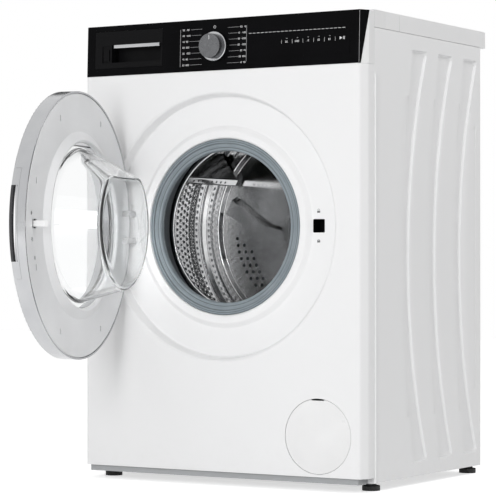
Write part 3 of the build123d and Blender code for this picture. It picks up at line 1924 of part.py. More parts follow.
def drain_outlet():
    """The spigot for the drain hose, held by a flange inside the back."""
    back = side_back_depth - 2 * sheet - seat_gap
    with BuildPart() as outlet:
        disc(outlet_x, outlet_z, outlet_radius, back - 30, back + 24)
        disc(outlet_x, outlet_z, outlet_radius + 8, back - 4, back - seat_gap)
        disc(outlet_x, outlet_z, outlet_radius - 2.5, back - 31, back + 25, mode=Mode.SUBTRACT)
    return outlet.part


write(side_panel(-1), "side_panel_left")
write(side_panel(1), "side_panel_right")
write(front_panel(), "front_panel")
write(rear_panel(), "rear_panel")
write(service_cover(), "service_cover")
write(base_tray(), "base_tray")
write(foot(-1, -1), "foot_front_left")
write(foot(1, -1), "foot_front_right")
write(foot(-1, 1), "foot_rear_left")
write(foot(1, 1), "foot_rear_right")
write(worktop(), "worktop")
write(worktop_front_rail(), "worktop_front_rail")
write(upper_frame(), "upper_frame")
write(console_frame(), "console_frame")
write(fascia(), "fascia")
write(drawer_front(), "drawer_front")
write(drawer_grip_bar(), "drawer_grip_bar")
write(drawer_tray(), "drawer_tray")
write(dispenser_housing(), "dispenser_housing")
write(programme_knob(), "programme_knob")
write(knob_ring(), "knob_ring")
write(control_board(), "control_board")
write_door(door_ring(), "door_ring")
write_door(door_handle(), "door_handle")
write_door(door_grip_bar(), "door_grip_bar")
write_door(door_inner_frame(), "door_inner_frame")
write_door(door_screws(), "door_screws")
write_door(door_glass(), "door_glass")
write_door(latch_hook(), "latch_hook")
write_door(hook_pin(), "hook_pin")
write_door(hinge_arm(), "hinge_arm")
write(hinge_bracket(), "hinge_bracket")
write(door_lock(), "door_lock")
write(gasket(), "gasket")
write(gasket_collar(), "gasket_collar")
write(tub_front(), "tub_front")
write(tub_rear(), "tub_rear")
write(balance_weights(), "balance_weights")
write(drum_bearings(), "drum_bearings")
write(drum_shell(), "drum_shell")
write(drum_front(), "drum_front")
write(drum_back(), "drum_back")
write(drum_lifters(), "drum_lifters")
write(drum_spider(), "drum_spider")
write(drum_pulley(), "drum_pulley")
write(drive_belt(), "drive_belt")
write(motor_stator(), "motor_stator")
write(motor_rotor(), "motor_rotor")
write(heater(), "heater")
write(suspension_springs(), "suspension_springs")
write(damper_cylinders(), "damper_cylinders")
write(damper_rods(), "damper_rods")
write(sump_hose(), "sump_hose")
write(pump_body(), "pump_body")
write(filter_plug(), "filter_plug")
write(pump_impeller(), "pump_impeller")
write(filter_cover(), "filter_cover")
write(inlet_valve(), "inlet_valve")
write(cord_gland(), "cord_gland")
write(drain_outlet(), "drain_outlet")
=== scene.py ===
"""A front-loading washing machine with its door open, in a plain light studio."""
import json
from math import cos, hypot, pi, radians, sin, sqrt

import bmesh
import bpy
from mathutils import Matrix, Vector


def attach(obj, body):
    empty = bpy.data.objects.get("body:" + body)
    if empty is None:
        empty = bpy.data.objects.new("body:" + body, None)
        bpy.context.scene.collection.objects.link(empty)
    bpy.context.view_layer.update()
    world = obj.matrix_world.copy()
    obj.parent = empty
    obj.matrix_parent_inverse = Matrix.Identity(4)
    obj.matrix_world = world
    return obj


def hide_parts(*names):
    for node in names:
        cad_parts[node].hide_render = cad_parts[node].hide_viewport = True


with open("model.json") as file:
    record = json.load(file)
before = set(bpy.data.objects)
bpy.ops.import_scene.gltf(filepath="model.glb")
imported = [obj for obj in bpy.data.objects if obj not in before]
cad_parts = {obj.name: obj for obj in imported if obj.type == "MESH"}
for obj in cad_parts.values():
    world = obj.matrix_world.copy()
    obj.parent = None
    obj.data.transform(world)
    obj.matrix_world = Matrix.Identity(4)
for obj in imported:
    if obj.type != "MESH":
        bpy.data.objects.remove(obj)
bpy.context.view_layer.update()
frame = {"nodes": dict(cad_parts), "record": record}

# Sizes that the looks share with the frame, in metres
FRONT_Y = -0.264
AXIS_Z = 0.4665
HALF_WIDTH = 0.2985
SHEET = 0.0012
HINGE_X = -0.213
HINGE_Y = FRONT_Y - 0.009
OPEN_ANGLE = radians(77.4)
KNOB_X = -0.007
KNOB_Z = 0.792
KNOB_FACE = 0.0194
CONSOLE_BOTTOM = 0.7485
CONSOLE_TOP = 0.842
CONSOLE_SETBACK = 0.003
DISH_DEPTH = 0.023
DRUM_RADIUS = 0.240
DRUM_FRONT = 0.090
DRUM_BACK = 0.322

# Axes along Y, as X and Z
DRUM_AXIS = (0.0, AXIS_Z)
KNOB_AXIS = (KNOB_X, KNOB_Z)


def smooth_step(value):
    """Eases a share from 0 to 1."""
    share = min(max(value, 0.0), 1.0)
    return share * share * (3 - 2 * share)


def between(start, end, parts):
    """The places that cut a stretch into equal parts, without its ends."""
    return [start + (end - start) * step / parts for step in range(1, parts)]


def shade(colour, share):
    """A colour made darker or lighter."""
    return tuple(share * part for part in colour)


def link(name, data):
    """A new object in the scene."""
    made = bpy.data.objects.new(name, data)
    bpy.context.scene.collection.objects.link(made)
    return made


# Materials

# Radii of the creases round the seal's face, and the colour of the shade painted into them
SEAL_SHADE_CREASES = (0.1552, 0.1512, 0.1438)
PAINTED_CREASE_SHADE = (0.06, 0.075, 0.085)

# How much of a turn counts as a place when brushing runs round an axis
TURN_SHARE = 0.02


class Finish:
    """A procedural material: a Principled shader and short ways to add detail to it."""

    def __init__(self, name, colour, roughness, metallic=0.0, **constants):
        self.material = bpy.data.materials.new(name)
        self.material.use_nodes = True
        self.material.diffuse_color = (*colour, 1.0)
        self.tree = self.material.node_tree
        self.shader = self.tree.nodes["Principled BSDF"]
        self.colour = colour
        self.shader.inputs["Base Color"].default_value = (*colour, 1.0)
        self.shader.inputs["Roughness"].default_value = roughness
        self.shader.inputs["Metallic"].default_value = metallic
        for socket, value in constants.items():
            self.shader.inputs[socket.replace("_", " ")].default_value = value
        self.place = self.node("ShaderNodeTexCoord").outputs["Object"]

    def node(self, kind, links=None, **settings):
        """A new node with its settings, its linked sockets and its constants."""
        made = self.tree.nodes.new(kind)
        for key, value in settings.items():
            setattr(made, key, value)
        for socket, value in (links or {}).items():
            if isinstance(value, bpy.types.NodeSocket):
                self.tree.links.new(value, made.inputs[socket])
            else:
                made.inputs[socket].default_value = value
        return made

    def maths(self, operation, first, second=0.0):
        """One Math node's value."""
        links = {0: first, 1: second}
        return self.node("ShaderNodeMath", links, operation=operation).outputs[0]

    def shifted(self, operation, place, offset):
        """A place plus or minus an offset."""
        links = {0: place, 1: offset}
        return self.node("ShaderNodeVectorMath", links, operation=operation).outputs[0]

    def scaled(self, scale):
        """The place stretched by three numbers."""
        links = {"Vector": self.place, "Scale": scale}
        return self.node("ShaderNodeMapping", links).outputs[0]

    def noise(self, scale, detail=2.0, place=None):
        """Cloudy noise from 0 to 1."""
        links = {"Vector": place or self.place, "Scale": scale, "Detail": detail}
        return self.node("ShaderNodeTexNoise", links).outputs[0]

    def cells(self, scale, output="Distance"):
        """Cell noise."""
        links = {"Vector": self.place, "Scale": scale}
        return self.node("ShaderNodeTexVoronoi", links).outputs[output]

    def span(self, value, low, high, to_low, to_high):
        """A value moved from one range to another, clamped."""
        links = {0: value, 1: low, 2: high, 3: to_low, 4: to_high}
        return self.node("ShaderNodeMapRange", links).outputs[0]

    def axes(self, place=None):
        """The three coordinates of a place."""
        return self.node("ShaderNodeSeparateXYZ", {0: place or self.place}).outputs

    def joined(self, x, y, z):
        """Three values as one place."""
        return self.node("ShaderNodeCombineXYZ", {0: x, 1: y, 2: z}).outputs[0]

    def blend(self, share, first, second):
        """One colour fading to another."""
        mixed = self.node("ShaderNodeMix", data_type="RGBA")
        for index, value in ((0, share), (6, first), (7, second)):
            if isinstance(value, bpy.types.NodeSocket):
                self.tree.links.new(value, mixed.inputs[index])
            else:
                mixed.inputs[index].default_value = value if index == 0 else (*value, 1.0)
        return mixed.outputs[2]

    def join(self, socket, value):
        """Links a value to one socket of the shader."""
        self.tree.links.new(value, self.shader.inputs[socket])
        return self

    def tint(self, scale, second, low=0.35, high=0.65, detail=3.0):
        """Lets the colour drift towards a second one."""
        share = self.span(self.noise(scale, detail), low, high, 0.0, 1.0)
        return self.join("Base Color", self.blend(share, self.colour, second))

    def gloss(self, scale, low, high):
        """Lets the roughness drift between two values."""
        return self.join("Roughness", self.span(self.noise(scale, 3.0), 0.3, 0.7, low, high))

    def relief(self, height, distance, strength=1.0):
        """Adds a bump on top of those before it."""
        links = {"Height": height, "Distance": distance, "Strength": strength}
        before = self.shader.inputs["Normal"]
        if before.is_linked:
            links["Normal"] = before.links[0].from_socket
        self.tree.links.new(self.node("ShaderNodeBump", links).outputs[0], before)
        return self

    def around(self, axis, turn=0.0):
        """Radius, angle and depth of a place about an axis, with a door's swing undone first."""
        place = self.place
        if turn:
            hinge = (HINGE_X, HINGE_Y, 0.0)
            links = {"Vector": self.shifted("SUBTRACT", place, hinge), "Angle": turn}
            turned = self.node("ShaderNodeVectorRotate", links, rotation_type="Z_AXIS").outputs[0]
            place = self.shifted("ADD", turned, hinge)
        x, y, z = self.axes(self.shifted("SUBTRACT", place, (axis[0], FRONT_Y, axis[1])))
        squares = [self.maths("MULTIPLY", part, part) for part in (x, z)]
        radius = self.maths("SQRT", self.maths("ADD", *squares))
        return radius, self.maths("ARCTAN2", z, x), y

    def rings(self, axis, scale, distance, strength, turn=0.0):
        """Fine concentric brushing about an axis."""
        radius, angle, depth = self.around(axis, turn)
        place = self.joined(radius, depth, self.maths("MULTIPLY", angle, TURN_SHARE))
        return self.relief(self.noise(scale, 3.0, place), distance, strength)


def enamel():
    """Satin white enamel with orange peel and a faint veil of dust low down."""
    colour = (0.86, 0.86, 0.864)
    made = Finish("white_enamel", colour, 0.34, Coat_Weight=0.15, Coat_Roughness=0.2)
    cloud = made.span(made.noise(2.5), 0.3, 0.7, 0.0, 1.0)
    clean = made.blend(cloud, made.colour, (0.848, 0.85, 0.855))
    low = made.span(made.axes()[2], 0.015, 0.09, 1.0, 0.0)
    dust = made.maths("MULTIPLY", low, made.span(made.noise(60.0, 5.0), 0.5, 0.8, 0.0, 0.22))
    made.join("Base Color", made.blend(dust, clean, (0.74, 0.735, 0.72)))
    made.gloss(24.0, 0.3, 0.38)
    made.relief(made.noise(420.0, 1.0), 0.00002, 0.4)
    return made.material


def laminate():
    """White laminate with a fine leathery grain."""
    made = Finish("white_laminate", (0.85, 0.85, 0.852), 0.42)
    made.tint(5.0, (0.82, 0.82, 0.826))
    made.gloss(60.0, 0.36, 0.5)
    made.relief(made.cells(900.0), 0.00005, 0.5)
    return made.material


def moulded(name, colour, roughness, **constants):
    """Moulded plastic with spark-eroded grain."""
    made = Finish(name, colour, roughness, **constants)
    made.tint(9.0, shade(colour, 0.94))
    made.gloss(70.0, roughness - 0.06, roughness + 0.07)
    made.relief(made.noise(1400.0, 2.0), 0.00003, 0.6)
    return made.material


def gloss_black():
    """Glossy black plastic with a slight ripple and traces of wiping."""
    made = Finish("black_gloss", (0.002, 0.002, 0.0024), 0.09, Specular_IOR_Level=0.04)
    made.tint(14.0, (0.003, 0.003, 0.0036))
    streaks = made.noise(30.0, 5.0, made.scaled((1.0, 1.0, 5.0)))
    made.join("Roughness", made.span(streaks, 0.4, 0.75, 0.07, 0.17))
    made.relief(made.noise(26.0, 1.0), 0.00012, 0.35)
    return made.material


def trim_metal():
    """Satin bright metal, brushed round the door, with a few faint handling marks."""
    made = Finish("bright_trim", (0.53, 0.535, 0.545), 0.2, 1.0)
    made.tint(11.0, (0.47, 0.475, 0.49))
    made.gloss(45.0, 0.15, 0.27)
    made.rings(DRUM_AXIS, 1600.0, 0.00003, 0.5, OPEN_ANGLE)
    return made.material


def spun_metal(name, colour, roughness):
    """Grey metal turned in fine rings about the knob."""
    made = Finish(name, colour, roughness, 0.85)
    made.tint(120.0, shade(colour, 0.85))
    made.gloss(300.0, roughness - 0.06, roughness + 0.08)
    made.rings(KNOB_AXIS, 2600.0, 0.00006, 0.8)
    return made.material


def clear_glass():
    """Pressed clear glass with a slow ripple."""
    colour = (0.952, 0.96, 0.962)
    made = Finish("clear_glass", colour, 0.015, IOR=1.5, Transmission_Weight=1.0)
    made.join("Roughness", made.span(made.noise(60.0, 4.0), 0.5, 0.85, 0.0, 0.09))
    made.relief(made.noise(14.0, 1.0), 0.0011, 0.4)
    return made.material


def seal_rubber():
    """Slate rubber with a dry bloom, painted shade in its creases and mould ticks round its face.
    """
    made = Finish("seal_rubber", (0.265, 0.305, 0.33), 0.48, Specular_IOR_Level=0.4)
    cloud = made.span(made.noise(30.0, 4.0), 0.3, 0.7, 0.0, 1.0)
    skin = made.blend(cloud, made.colour, (0.225, 0.262, 0.285))
    made.gloss(120.0, 0.4, 0.6)
    radius, angle, depth = made.around(DRUM_AXIS)
    # Painted shade: the rubber's colour darkens in narrow rings where the creases lie
    for crease in SEAL_SHADE_CREASES:
        away = made.maths("ABSOLUTE", made.maths("SUBTRACT", radius, crease))
        skin = made.blend(made.span(away, 0.0003, 0.0011, 0.75, 0.0), skin, PAINTED_CREASE_SHADE)
    made.join("Base Color", skin)
    tick = made.maths("PINGPONG", made.maths("MULTIPLY", angle, 9.0 / pi), 1.0)
    narrow = made.span(tick, 0.93, 0.97, 0.0, 1.0)
    made.relief(made.maths("MULTIPLY", narrow, made.noise(300.0)), 0.0003, 0.5)
    made.relief(made.noise(900.0, 2.0), 0.00006, 0.6)
    return made.material


def plain_rubber(name, colour, roughness):
    """Black rubber with a rough skin."""
    made = Finish(name, colour, roughness)
    made.tint(80.0, shade(colour, 1.8), 0.4, 0.8, 5.0)
    made.gloss(150.0, roughness - 0.1, roughness + 0.12)
    made.relief(made.noise(1100.0, 3.0), 0.0001, 0.7)
    return made.material


def stainless(name, colour, roughness):
    """Bright drum steel, rolled in fine lines round its axis, with water marks."""
    made = Finish(name, colour, roughness, 1.0)
    made.tint(60.0, shade(colour, 0.94), 0.35, 0.7, 4.0)
    made.gloss(90.0, roughness, roughness + 0.07)
    made.rings(DRUM_AXIS, 1300.0, 0.00003, 0.4)
    return made.material


def bare_steel():
    """Ground steel with faint staining."""
    made = Finish("ground_steel", (0.55, 0.555, 0.565), 0.32, 1.0)
    made.tint(40.0, (0.42, 0.41, 0.40), 0.45, 0.8, 5.0)
    made.gloss(80.0, 0.24, 0.42)
    made.relief(made.noise(1500.0, 2.0), 0.00004, 0.6)
    return made.material


def galvanised():
    """Zinc-coated sheet with its spangle."""
    made = Finish("galvanised_sheet", (0.55, 0.565, 0.585), 0.4, 1.0)
    flake = made.axes(made.cells(95.0, "Color"))[0]
    made.join("Base Color", made.blend(flake, (0.46, 0.475, 0.495), (0.62, 0.635, 0.65)))
    made.join("Roughness", made.span(flake, 0.0, 1.0, 0.3, 0.5))
    made.relief(made.noise(700.0, 2.0), 0.00003, 0.5)
    return made.material


def tub_plastic():
    """Grey filled plastic with flow marks and lime stain."""
    made = Finish("tub_plastic", (0.13, 0.15, 0.165), 0.5)
    flow = made.noise(9.0, 5.0, made.scaled((1.0, 0.25, 1.0)))
    stain = made.span(flow, 0.35, 0.7, 0.0, 1.0)
    made.join("Base Color", made.blend(stain, made.colour, (0.17, 0.19, 0.205)))
    made.gloss(50.0, 0.42, 0.6)
    made.relief(made.noise(1000.0, 2.0), 0.00006, 0.6)
    return made.material


def cast_iron():
    """Sand-cast iron under thin dark paint, rusting on its high spots."""
    made = Finish("cast_iron", (0.075, 0.076, 0.08), 0.65, 0.3)
    rust = made.span(made.noise(26.0, 6.0), 0.58, 0.72, 0.0, 0.8)
    made.join("Base Color", made.blend(rust, made.colour, (0.17, 0.075, 0.035)))
    made.relief(made.noise(420.0, 4.0), 0.0004, 0.7)
    return made.material


def cast_aluminium():
    """Die-cast aluminium with a dull skin."""
    made = Finish("cast_aluminium", (0.62, 0.63, 0.64), 0.42, 1.0)
    made.tint(35.0, (0.52, 0.525, 0.53), 0.35, 0.7, 5.0)
    made.gloss(90.0, 0.34, 0.52)
    made.relief(made.noise(600.0, 3.0), 0.00012, 0.6)
    return made.material


def deep_black():
    """Black plastic that hardly shines."""
    colour = (0.004, 0.004, 0.0045)
    return moulded("black_plastic", colour, 0.45, Specular_IOR_Level=0.08)


finishes = {
    "white_paint": enamel(),
    "white_laminate": laminate(),
    "white_plastic": moulded("white_plastic", (0.86, 0.86, 0.862), 0.33),
    "pale_grey_plastic": moulded("pale_grey_plastic", (0.87, 0.875, 0.885), 0.34),
    "black_gloss": gloss_black(),
    "black_plastic": deep_black(),
    "dark_grip": moulded("dark_grip", (0.03, 0.03, 0.033), 0.35),
    "bright_trim": trim_metal(),
    "knob_grey": spun_metal("knob_metal", (0.17, 0.173, 0.18), 0.3),
    "grey_plastic": moulded("grey_plastic", (0.40, 0.41, 0.42), 0.42),
    "glass": clear_glass(),
    "seal_rubber": seal_rubber(),
    "foot_rubber": plain_rubber("foot_rubber", (0.012, 0.012, 0.012), 0.65),
    "stainless": stainless("stainless", (0.64, 0.645, 0.65), 0.1),
    "steel": bare_steel(),
    "galvanised": galvanised(),
    "tub_plastic": tub_plastic(),
    "cast_iron": cast_iron(),
    "aluminium": cast_aluminium(),
    "belt_rubber": plain_rubber("belt_rubber", (0.010, 0.010, 0.010), 0.55),
}


def dress(shown, finish):
    """Gives a piece one material."""
    shown.data.materials.clear()
    shown.data.materials.append(finish)


for entry in frame["record"]["subparts"]:
    dress(frame["nodes"][entry["node"]], finishes[entry["material_slot"]])

# The drum's back is polished, and brighter than its cylinder
polished = stainless("polished_steel", (0.78, 0.783, 0.79), 0.085)
dress(frame["nodes"]["drum_back"], polished)


# Pieces

SHARP_ANGLE = radians(38)


def piece(name, mesh, finish, body, smooth=True):
    """A new piece from a finished bmesh, in the row frame, riding on a body."""
    bmesh.ops.remove_doubles(mesh, verts=mesh.verts, dist=1e-7)
    bmesh.ops.recalc_face_normals(mesh, faces=mesh.faces)
    data = bpy.data.meshes.new(name)
    mesh.to_mesh(data)
    mesh.free()
    made = link(name, data)
    for face in data.polygons:
        face.use_smooth = smooth
    if smooth:
        data.set_sharp_from_angle(angle=SHARP_ANGLE)
    dress(made, finish)
    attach(made, body)
    return made


def band(mesh, first, second):
    """Adds the faces between two closed loops of as many points."""
    for index in range(len(first)):
        after = (index + 1) % len(first)
        mesh.faces.new((first[index], first[after], second[after], second[index]))


def prism(mesh, outline, low, high, plane):
    """Adds a closed plate: an outline swept between two heights by a plane function."""
    bottom = [mesh.verts.new(plane(a, b, low)) for a, b in outline]
    top = [mesh.verts.new(plane(a, b, high)) for a, b in outline]
    mesh.faces.new(bottom)
    mesh.faces.new(top[::-1])
    band(mesh, top, bottom)


def lathe(mesh, sections, count):
    """Adds a turned surface from sections of radius and depth, each with its place function.

    A radius of 0 makes a pole.
    """
    turns = [2 * pi * index / count for index in range(count)]
    rings = []
    for profile, place in sections:
        for radius, depth in profile:
            if radius == 0:
                rings.append([mesh.verts.new(place(0.0, depth, 0.0))] * count)
            else:
                rings.append([mesh.verts.new(place(radius, depth, turn)) for turn in turns])
    for lower, upper in zip(rings, rings[1:]):
        for index in range(count):
            after = (index + 1) % count
            corners = [lower[index], lower[after], upper[after], upper[index]]
            mesh.faces.new(list(dict.fromkeys(corners)))


def on_console(x, z, lift):
    """A point on the console's leaning face, lifted towards the viewer."""
    lean = CONSOLE_SETBACK * (z - CONSOLE_BOTTOM) / (CONSOLE_TOP - CONSOLE_BOTTOM)
    return Vector((x, FRONT_Y + lean - lift, z))


def bar(x_low, x_high, z_low, z_high):
    """A rectangle's outline."""
    return [(x_low, z_low), (x_high, z_low), (x_high, z_high), (x_low, z_high)]


# Side walls with soft pressings

SIDE_FRONT = 0.039
SIDE_BACK = 0.470
SIDE_BOTTOM = 0.015
SIDE_TOP = 0.8137

# The three pressings: each lies between two arcs, given at its ends and in its middle
PRESSING_TOP = 0.785
PRESSING_BOTTOM = 0.042
PRESSING_MIDDLE = (PRESSING_TOP + PRESSING_BOTTOM) / 2
PRESSING_HALF = (PRESSING_TOP - PRESSING_BOTTOM) / 2
PRESSING_STARTS = (0.0, 0.105, 0.210)
PRESSING_DEPTH = 0.0052
PRESSING_CORNER = 0.012
NEAR_END, NEAR_MIDDLE = 0.187, 0.152
FAR_END, FAR_MIDDLE = 0.244, 0.170
FAR_SLOPE = 0.0036
SOFT_SLOPE = 0.030
CRISP_SLOPE = 0.0034
CRISP_START = 0.5
CRISP_EASE = 0.3

# The fine groove behind them
STEP_LINE = 0.4465
STEP_LINE_HALF = 0.0022
STEP_LINE_DEPTH = 0.0018
STEP_LINE_BOTTOM = 0.166
STEP_LINE_TOP = 0.662

# Rolled edges, the hem in front and the flanges that turn inwards
FOLD = 0.0015
FRONT_FOLD = 0.0012
HEM_HEIGHT = 0.0022
HEM_RISE = 0.0022
HEM_FALL = 0.004
HEM_END = 0.0068
HEM_TOP = 0.738
HEM_FADE = 0.012
FLANGE = 0.014
FLANGE_GAP = 0.0016
NUDGE = 0.0001

# Columns and rows of the sheet: fine near folds and the pressings' ends
FRONT_COLUMNS = (0.0, 0.0003, 0.0007, 0.0012, 0.0017, 0.0022, 0.0035, 0.0048, HEM_END)
NEAR_SHARES = (-0.5, -0.25, 0.0, 0.25, 0.5)
FAR_SHARES = (-0.5, -0.3, -0.1, 0.1, 0.3, 0.5)
FOLD_SHARES = (1.0, 0.5, 0.15, 0.0)
FLAT_PARTS = 6
BACK_PARTS = 7
END_PARTS = 5
STEP_LINE_ROOM = 0.006
BACK_ROOM = 0.002
ROW_MARGIN = 0.004
FINE_ROW = 0.0011
FINE_ROWS = 17
PLAIN_ROWS = 120


def arc_through(end, middle, z):
    """The depth of an arc through two equal ends and a middle, at a height."""
    sagitta = end - middle
    radius = (PRESSING_HALF**2 + sagitta * sagitta) / (2 * sagitta)
    rise = min(abs(z - PRESSING_MIDDLE), PRESSING_HALF)
    return middle + radius - sqrt(radius * radius - rise * rise)


def pressing_edges(z):
    """Where the near edge, its slope and the far edge of a pressing lie at a height."""
    away = abs(z - PRESSING_MIDDLE) / PRESSING_HALF
    crisp = smooth_step((away - CRISP_START) / CRISP_EASE)
    near = arc_through(NEAR_END, NEAR_MIDDLE, z)
    far = arc_through(FAR_END, FAR_MIDDLE, z)
    slope = SOFT_SLOPE + (CRISP_SLOPE - SOFT_SLOPE) * crisp
    return near, min(slope, 2 * (far - near) - 1.2 * FAR_SLOPE), far


def pressing(depth, z, edges):
    """How deep the side wall is pressed in at a depth and height."""
    deepest = 0.0
    near, slope, far = edges
    ends = min(PRESSING_TOP - z, z - PRESSING_BOTTOM)
    for start in PRESSING_STARTS:
        rise = smooth_step((depth - start - near) / slope + 0.5)
        inside = start + far - depth
        if inside < PRESSING_CORNER and ends < PRESSING_CORNER:
            corner = hypot(PRESSING_CORNER - inside, PRESSING_CORNER - ends)
            inside = PRESSING_CORNER - corner
        inside = min(inside, ends)
        pressed = PRESSING_DEPTH * rise * smooth_step(inside / FAR_SLOPE + 0.5)
        deepest = max(deepest, pressed)
    if STEP_LINE_BOTTOM < z < STEP_LINE_TOP:
        line = 1 - min(abs(depth - STEP_LINE) / STEP_LINE_HALF, 1.0)
        deepest = max(deepest, STEP_LINE_DEPTH * smooth_step(line))
    return deepest


def hem(depth, z):
    """How far the hemmed front edge of the side stands proud."""
    along = depth - SIDE_FRONT
    rise = smooth_step(along / HEM_RISE) * smooth_step((HEM_END - along) / HEM_FALL)
    return HEM_HEIGHT * rise * smooth_step((HEM_TOP - z) / HEM_FADE)


def rolled(edge, radius):
    """How far a rolled edge draws the sheet in, at a distance from that edge."""
    return radius - sqrt(max(radius**2 - max(radius - edge, 0.0) ** 2, 0.0))


def side_columns(edges):
    """Depths that follow the pressings' edges at one height."""
    near, slope, far = edges
    depths = [SIDE_FRONT + offset for offset in FRONT_COLUMNS]
    last = depths[-1]
    for start in PRESSING_STARTS:
        depths += between(last, start + near - slope / 2, FLAT_PARTS)
        depths += [start + near + slope * share for share in NEAR_SHARES]
        floor_ends = (start + near + slope / 2, start + far - FAR_SLOPE / 2)
        depths += between(*floor_ends, FLAT_PARTS)
        depths += [start + far + FAR_SLOPE * share for share in FAR_SHARES]
        last = depths[-1]
    if last < STEP_LINE - STEP_LINE_ROOM:
        depths.append((last + STEP_LINE - STEP_LINE_HALF) / 2)
        depths += [STEP_LINE + STEP_LINE_HALF / 2 * step for step in range(-2, 3)]
    else:
        depths += between(last, SIDE_BACK - BACK_ROOM, BACK_PARTS)
    return depths + [SIDE_BACK - FOLD * share for share in FOLD_SHARES]


def side_rows():
    """Heights from the bottom of a side to its top."""
    low = PRESSING_BOTTOM - ROW_MARGIN
    high = PRESSING_TOP + ROW_MARGIN - FINE_ROW * (FINE_ROWS - 1)
    rows = [SIDE_BOTTOM] + between(SIDE_BOTTOM, low, END_PARTS)
    rows += [low + FINE_ROW * step for step in range(FINE_ROWS)]
    rows += between(rows[-1], high, PLAIN_ROWS)
    rows += [high + FINE_ROW * step for step in range(FINE_ROWS)]
    rows += between(rows[-1], SIDE_TOP - FOLD, FLAT_PARTS)
    return rows + [SIDE_TOP - FOLD * share for share in FOLD_SHARES]


def rim(grid):
    """The points round the border of a grid."""
    back = [row[-1] for row in grid[1:]]
    front = [row[0] for row in grid[-2:0:-1]]
    return grid[0] + back + grid[-1][-2::-1] + front


def side_wall(side):
    """The outer sheet of one side as a fine surface with folded edges, closed all round."""
    mesh = bmesh.new()

    def point(depth, z, inset, edges):
        roll = rolled(min(SIDE_BACK - depth, SIDE_TOP - z), FOLD)
        roll = max(roll, rolled(depth - SIDE_FRONT, FRONT_FOLD)) - hem(depth, z)
        x = HALF_WIDTH - pressing(depth, z, edges) - roll - inset
        return (side * x, FRONT_Y + depth, z)

    outer = []
    inner = []
    for z in side_rows():
        edges = pressing_edges(z)
        columns = side_columns(edges)
        for grid, inset in ((outer, 0.0), (inner, SHEET)):
            grid.append([mesh.verts.new(point(depth, z, inset, edges)) for depth in columns])
    for grid in (outer, inner):
        for upper, lower in zip(grid[1:], grid):
            for index in range(len(columns) - 1):
                corners = (lower[index], lower[index + 1], upper[index + 1], upper[index])
                mesh.faces.new(corners)
    band(mesh, rim(outer), rim(inner))

    outside = HALF_WIDTH - SHEET - FLANGE_GAP
    low, high = sorted((side * outside, side * (HALF_WIDTH - FLANGE)))

    def upright(x, y, z):
        return Vector((x, y, z))

    for start, end in (
        (SIDE_FRONT + NUDGE, SIDE_FRONT + SHEET),
        (SIDE_BACK - SHEET, SIDE_BACK - NUDGE),
    ):
        outline = bar(low, high, FRONT_Y + start, FRONT_Y + end)
        prism(mesh, outline, SIDE_BOTTOM, SIDE_TOP - NUDGE, upright)
    return mesh


for name, node, side in (
    ("side_wall_left", "side_panel_left", -1),
    ("side_wall_right", "side_panel_right", 1),
):
    wall = piece(name, side_wall(side), finishes["white_paint"], "cabinet")
    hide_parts(node)


# Pressed glass bowl of the door

ROOT_RADIUS = 0.134
ROOT_DEPTH = 0.012
END_RADIUS = 0.114
END_DEPTH = 0.087
CROWN_DEPTH = 0.098
DOME_RISE = 0.0048
BOWL_CORNER = 0.008
GLASS_WALL = 0.005
BOWL_POINTS = 168
SIDE_STEPS = 30
BEND_STEPS = 8
DOME_STEPS = 24

# The flange's edge, from the inside of the bowl round to its outside
FLANGE_RADIUS = 0.160
FLANGE_FRONT = 0.002
FLANGE_BACK = 0.007
FLANGE_PROFILE = (
    (ROOT_RADIUS - GLASS_WALL, FLANGE_BACK),
    (ROOT_RADIUS - GLASS_WALL + 0.0002, 0.0034),
    (ROOT_RADIUS - GLASS_WALL + 0.0008, 0.0024),
    (ROOT_RADIUS - GLASS_WALL + 0.0018, FLANGE_FRONT),
    (0.145, FLANGE_FRONT),
    (0.159, FLANGE_FRONT),
    (0.1596, 0.0022),
    (FLANGE_RADIUS, 0.0028),
    (FLANGE_RADIUS, 0.0062),
    (0.1596, 0.0068),
    (0.159, FLANGE_BACK),
    (0.145, FLANGE_BACK),
    (0.1372, FLANGE_BACK),
    (0.1356, 0.0076),
    (0.1346, 0.009),
)
FLANGE_INNER = 2

# The slanting scoop: where it starts, how it falls, and how soft its edge becomes
SCOOP_START = ROOT_RADIUS + 0.001
SCOOP_FALL = 0.054 / 0.085
SCOOP_SHARP = 0.0006
SCOOP_SOFT = 0.012
SCOOP_EASE = 0.03


def swung(x, depth, z):
    """A point of the closed door, given from the drum's axis, where the open door has it."""
    away_x = x - HINGE_X
    away_y = FRONT_Y + depth - HINGE_Y
    turned_x = HINGE_X + away_x * cos(OPEN_ANGLE) + away_y * sin(OPEN_ANGLE)
    turned_y = HINGE_Y - away_x * sin(OPEN_ANGLE) + away_y * cos(OPEN_ANGLE)
    return Vector((turned_x, turned_y, AXIS_Z + z))


def bowl_profile(shrink):
    """The bowl's section from its root to its crown, drawn in by a wall."""
    root = ROOT_RADIUS - shrink
    end = END_RADIUS - shrink
    crown = CROWN_DEPTH - shrink
    edge = crown - DOME_RISE
    side = []
    for step in range(SIDE_STEPS + 1):
        share = step / SIDE_STEPS
        depth = ROOT_DEPTH + (END_DEPTH - ROOT_DEPTH) * share
        side.append((root + (end - root) * share, depth))
    flat = end - BOWL_CORNER
    bend = []
    for step in range(1, BEND_STEPS + 1):
        turn = radians(90 * step / BEND_STEPS)
        depth = END_DEPTH + (edge - END_DEPTH) * sin(turn)
        bend.append((flat + BOWL_CORNER * cos(turn), depth))
    dome = []
    for step in range(1, DOME_STEPS + 1):
        radius = flat * (1 - step / DOME_STEPS)
        dome.append((radius, crown - DOME_RISE * (radius / flat) ** 2))
    return side + bend + dome


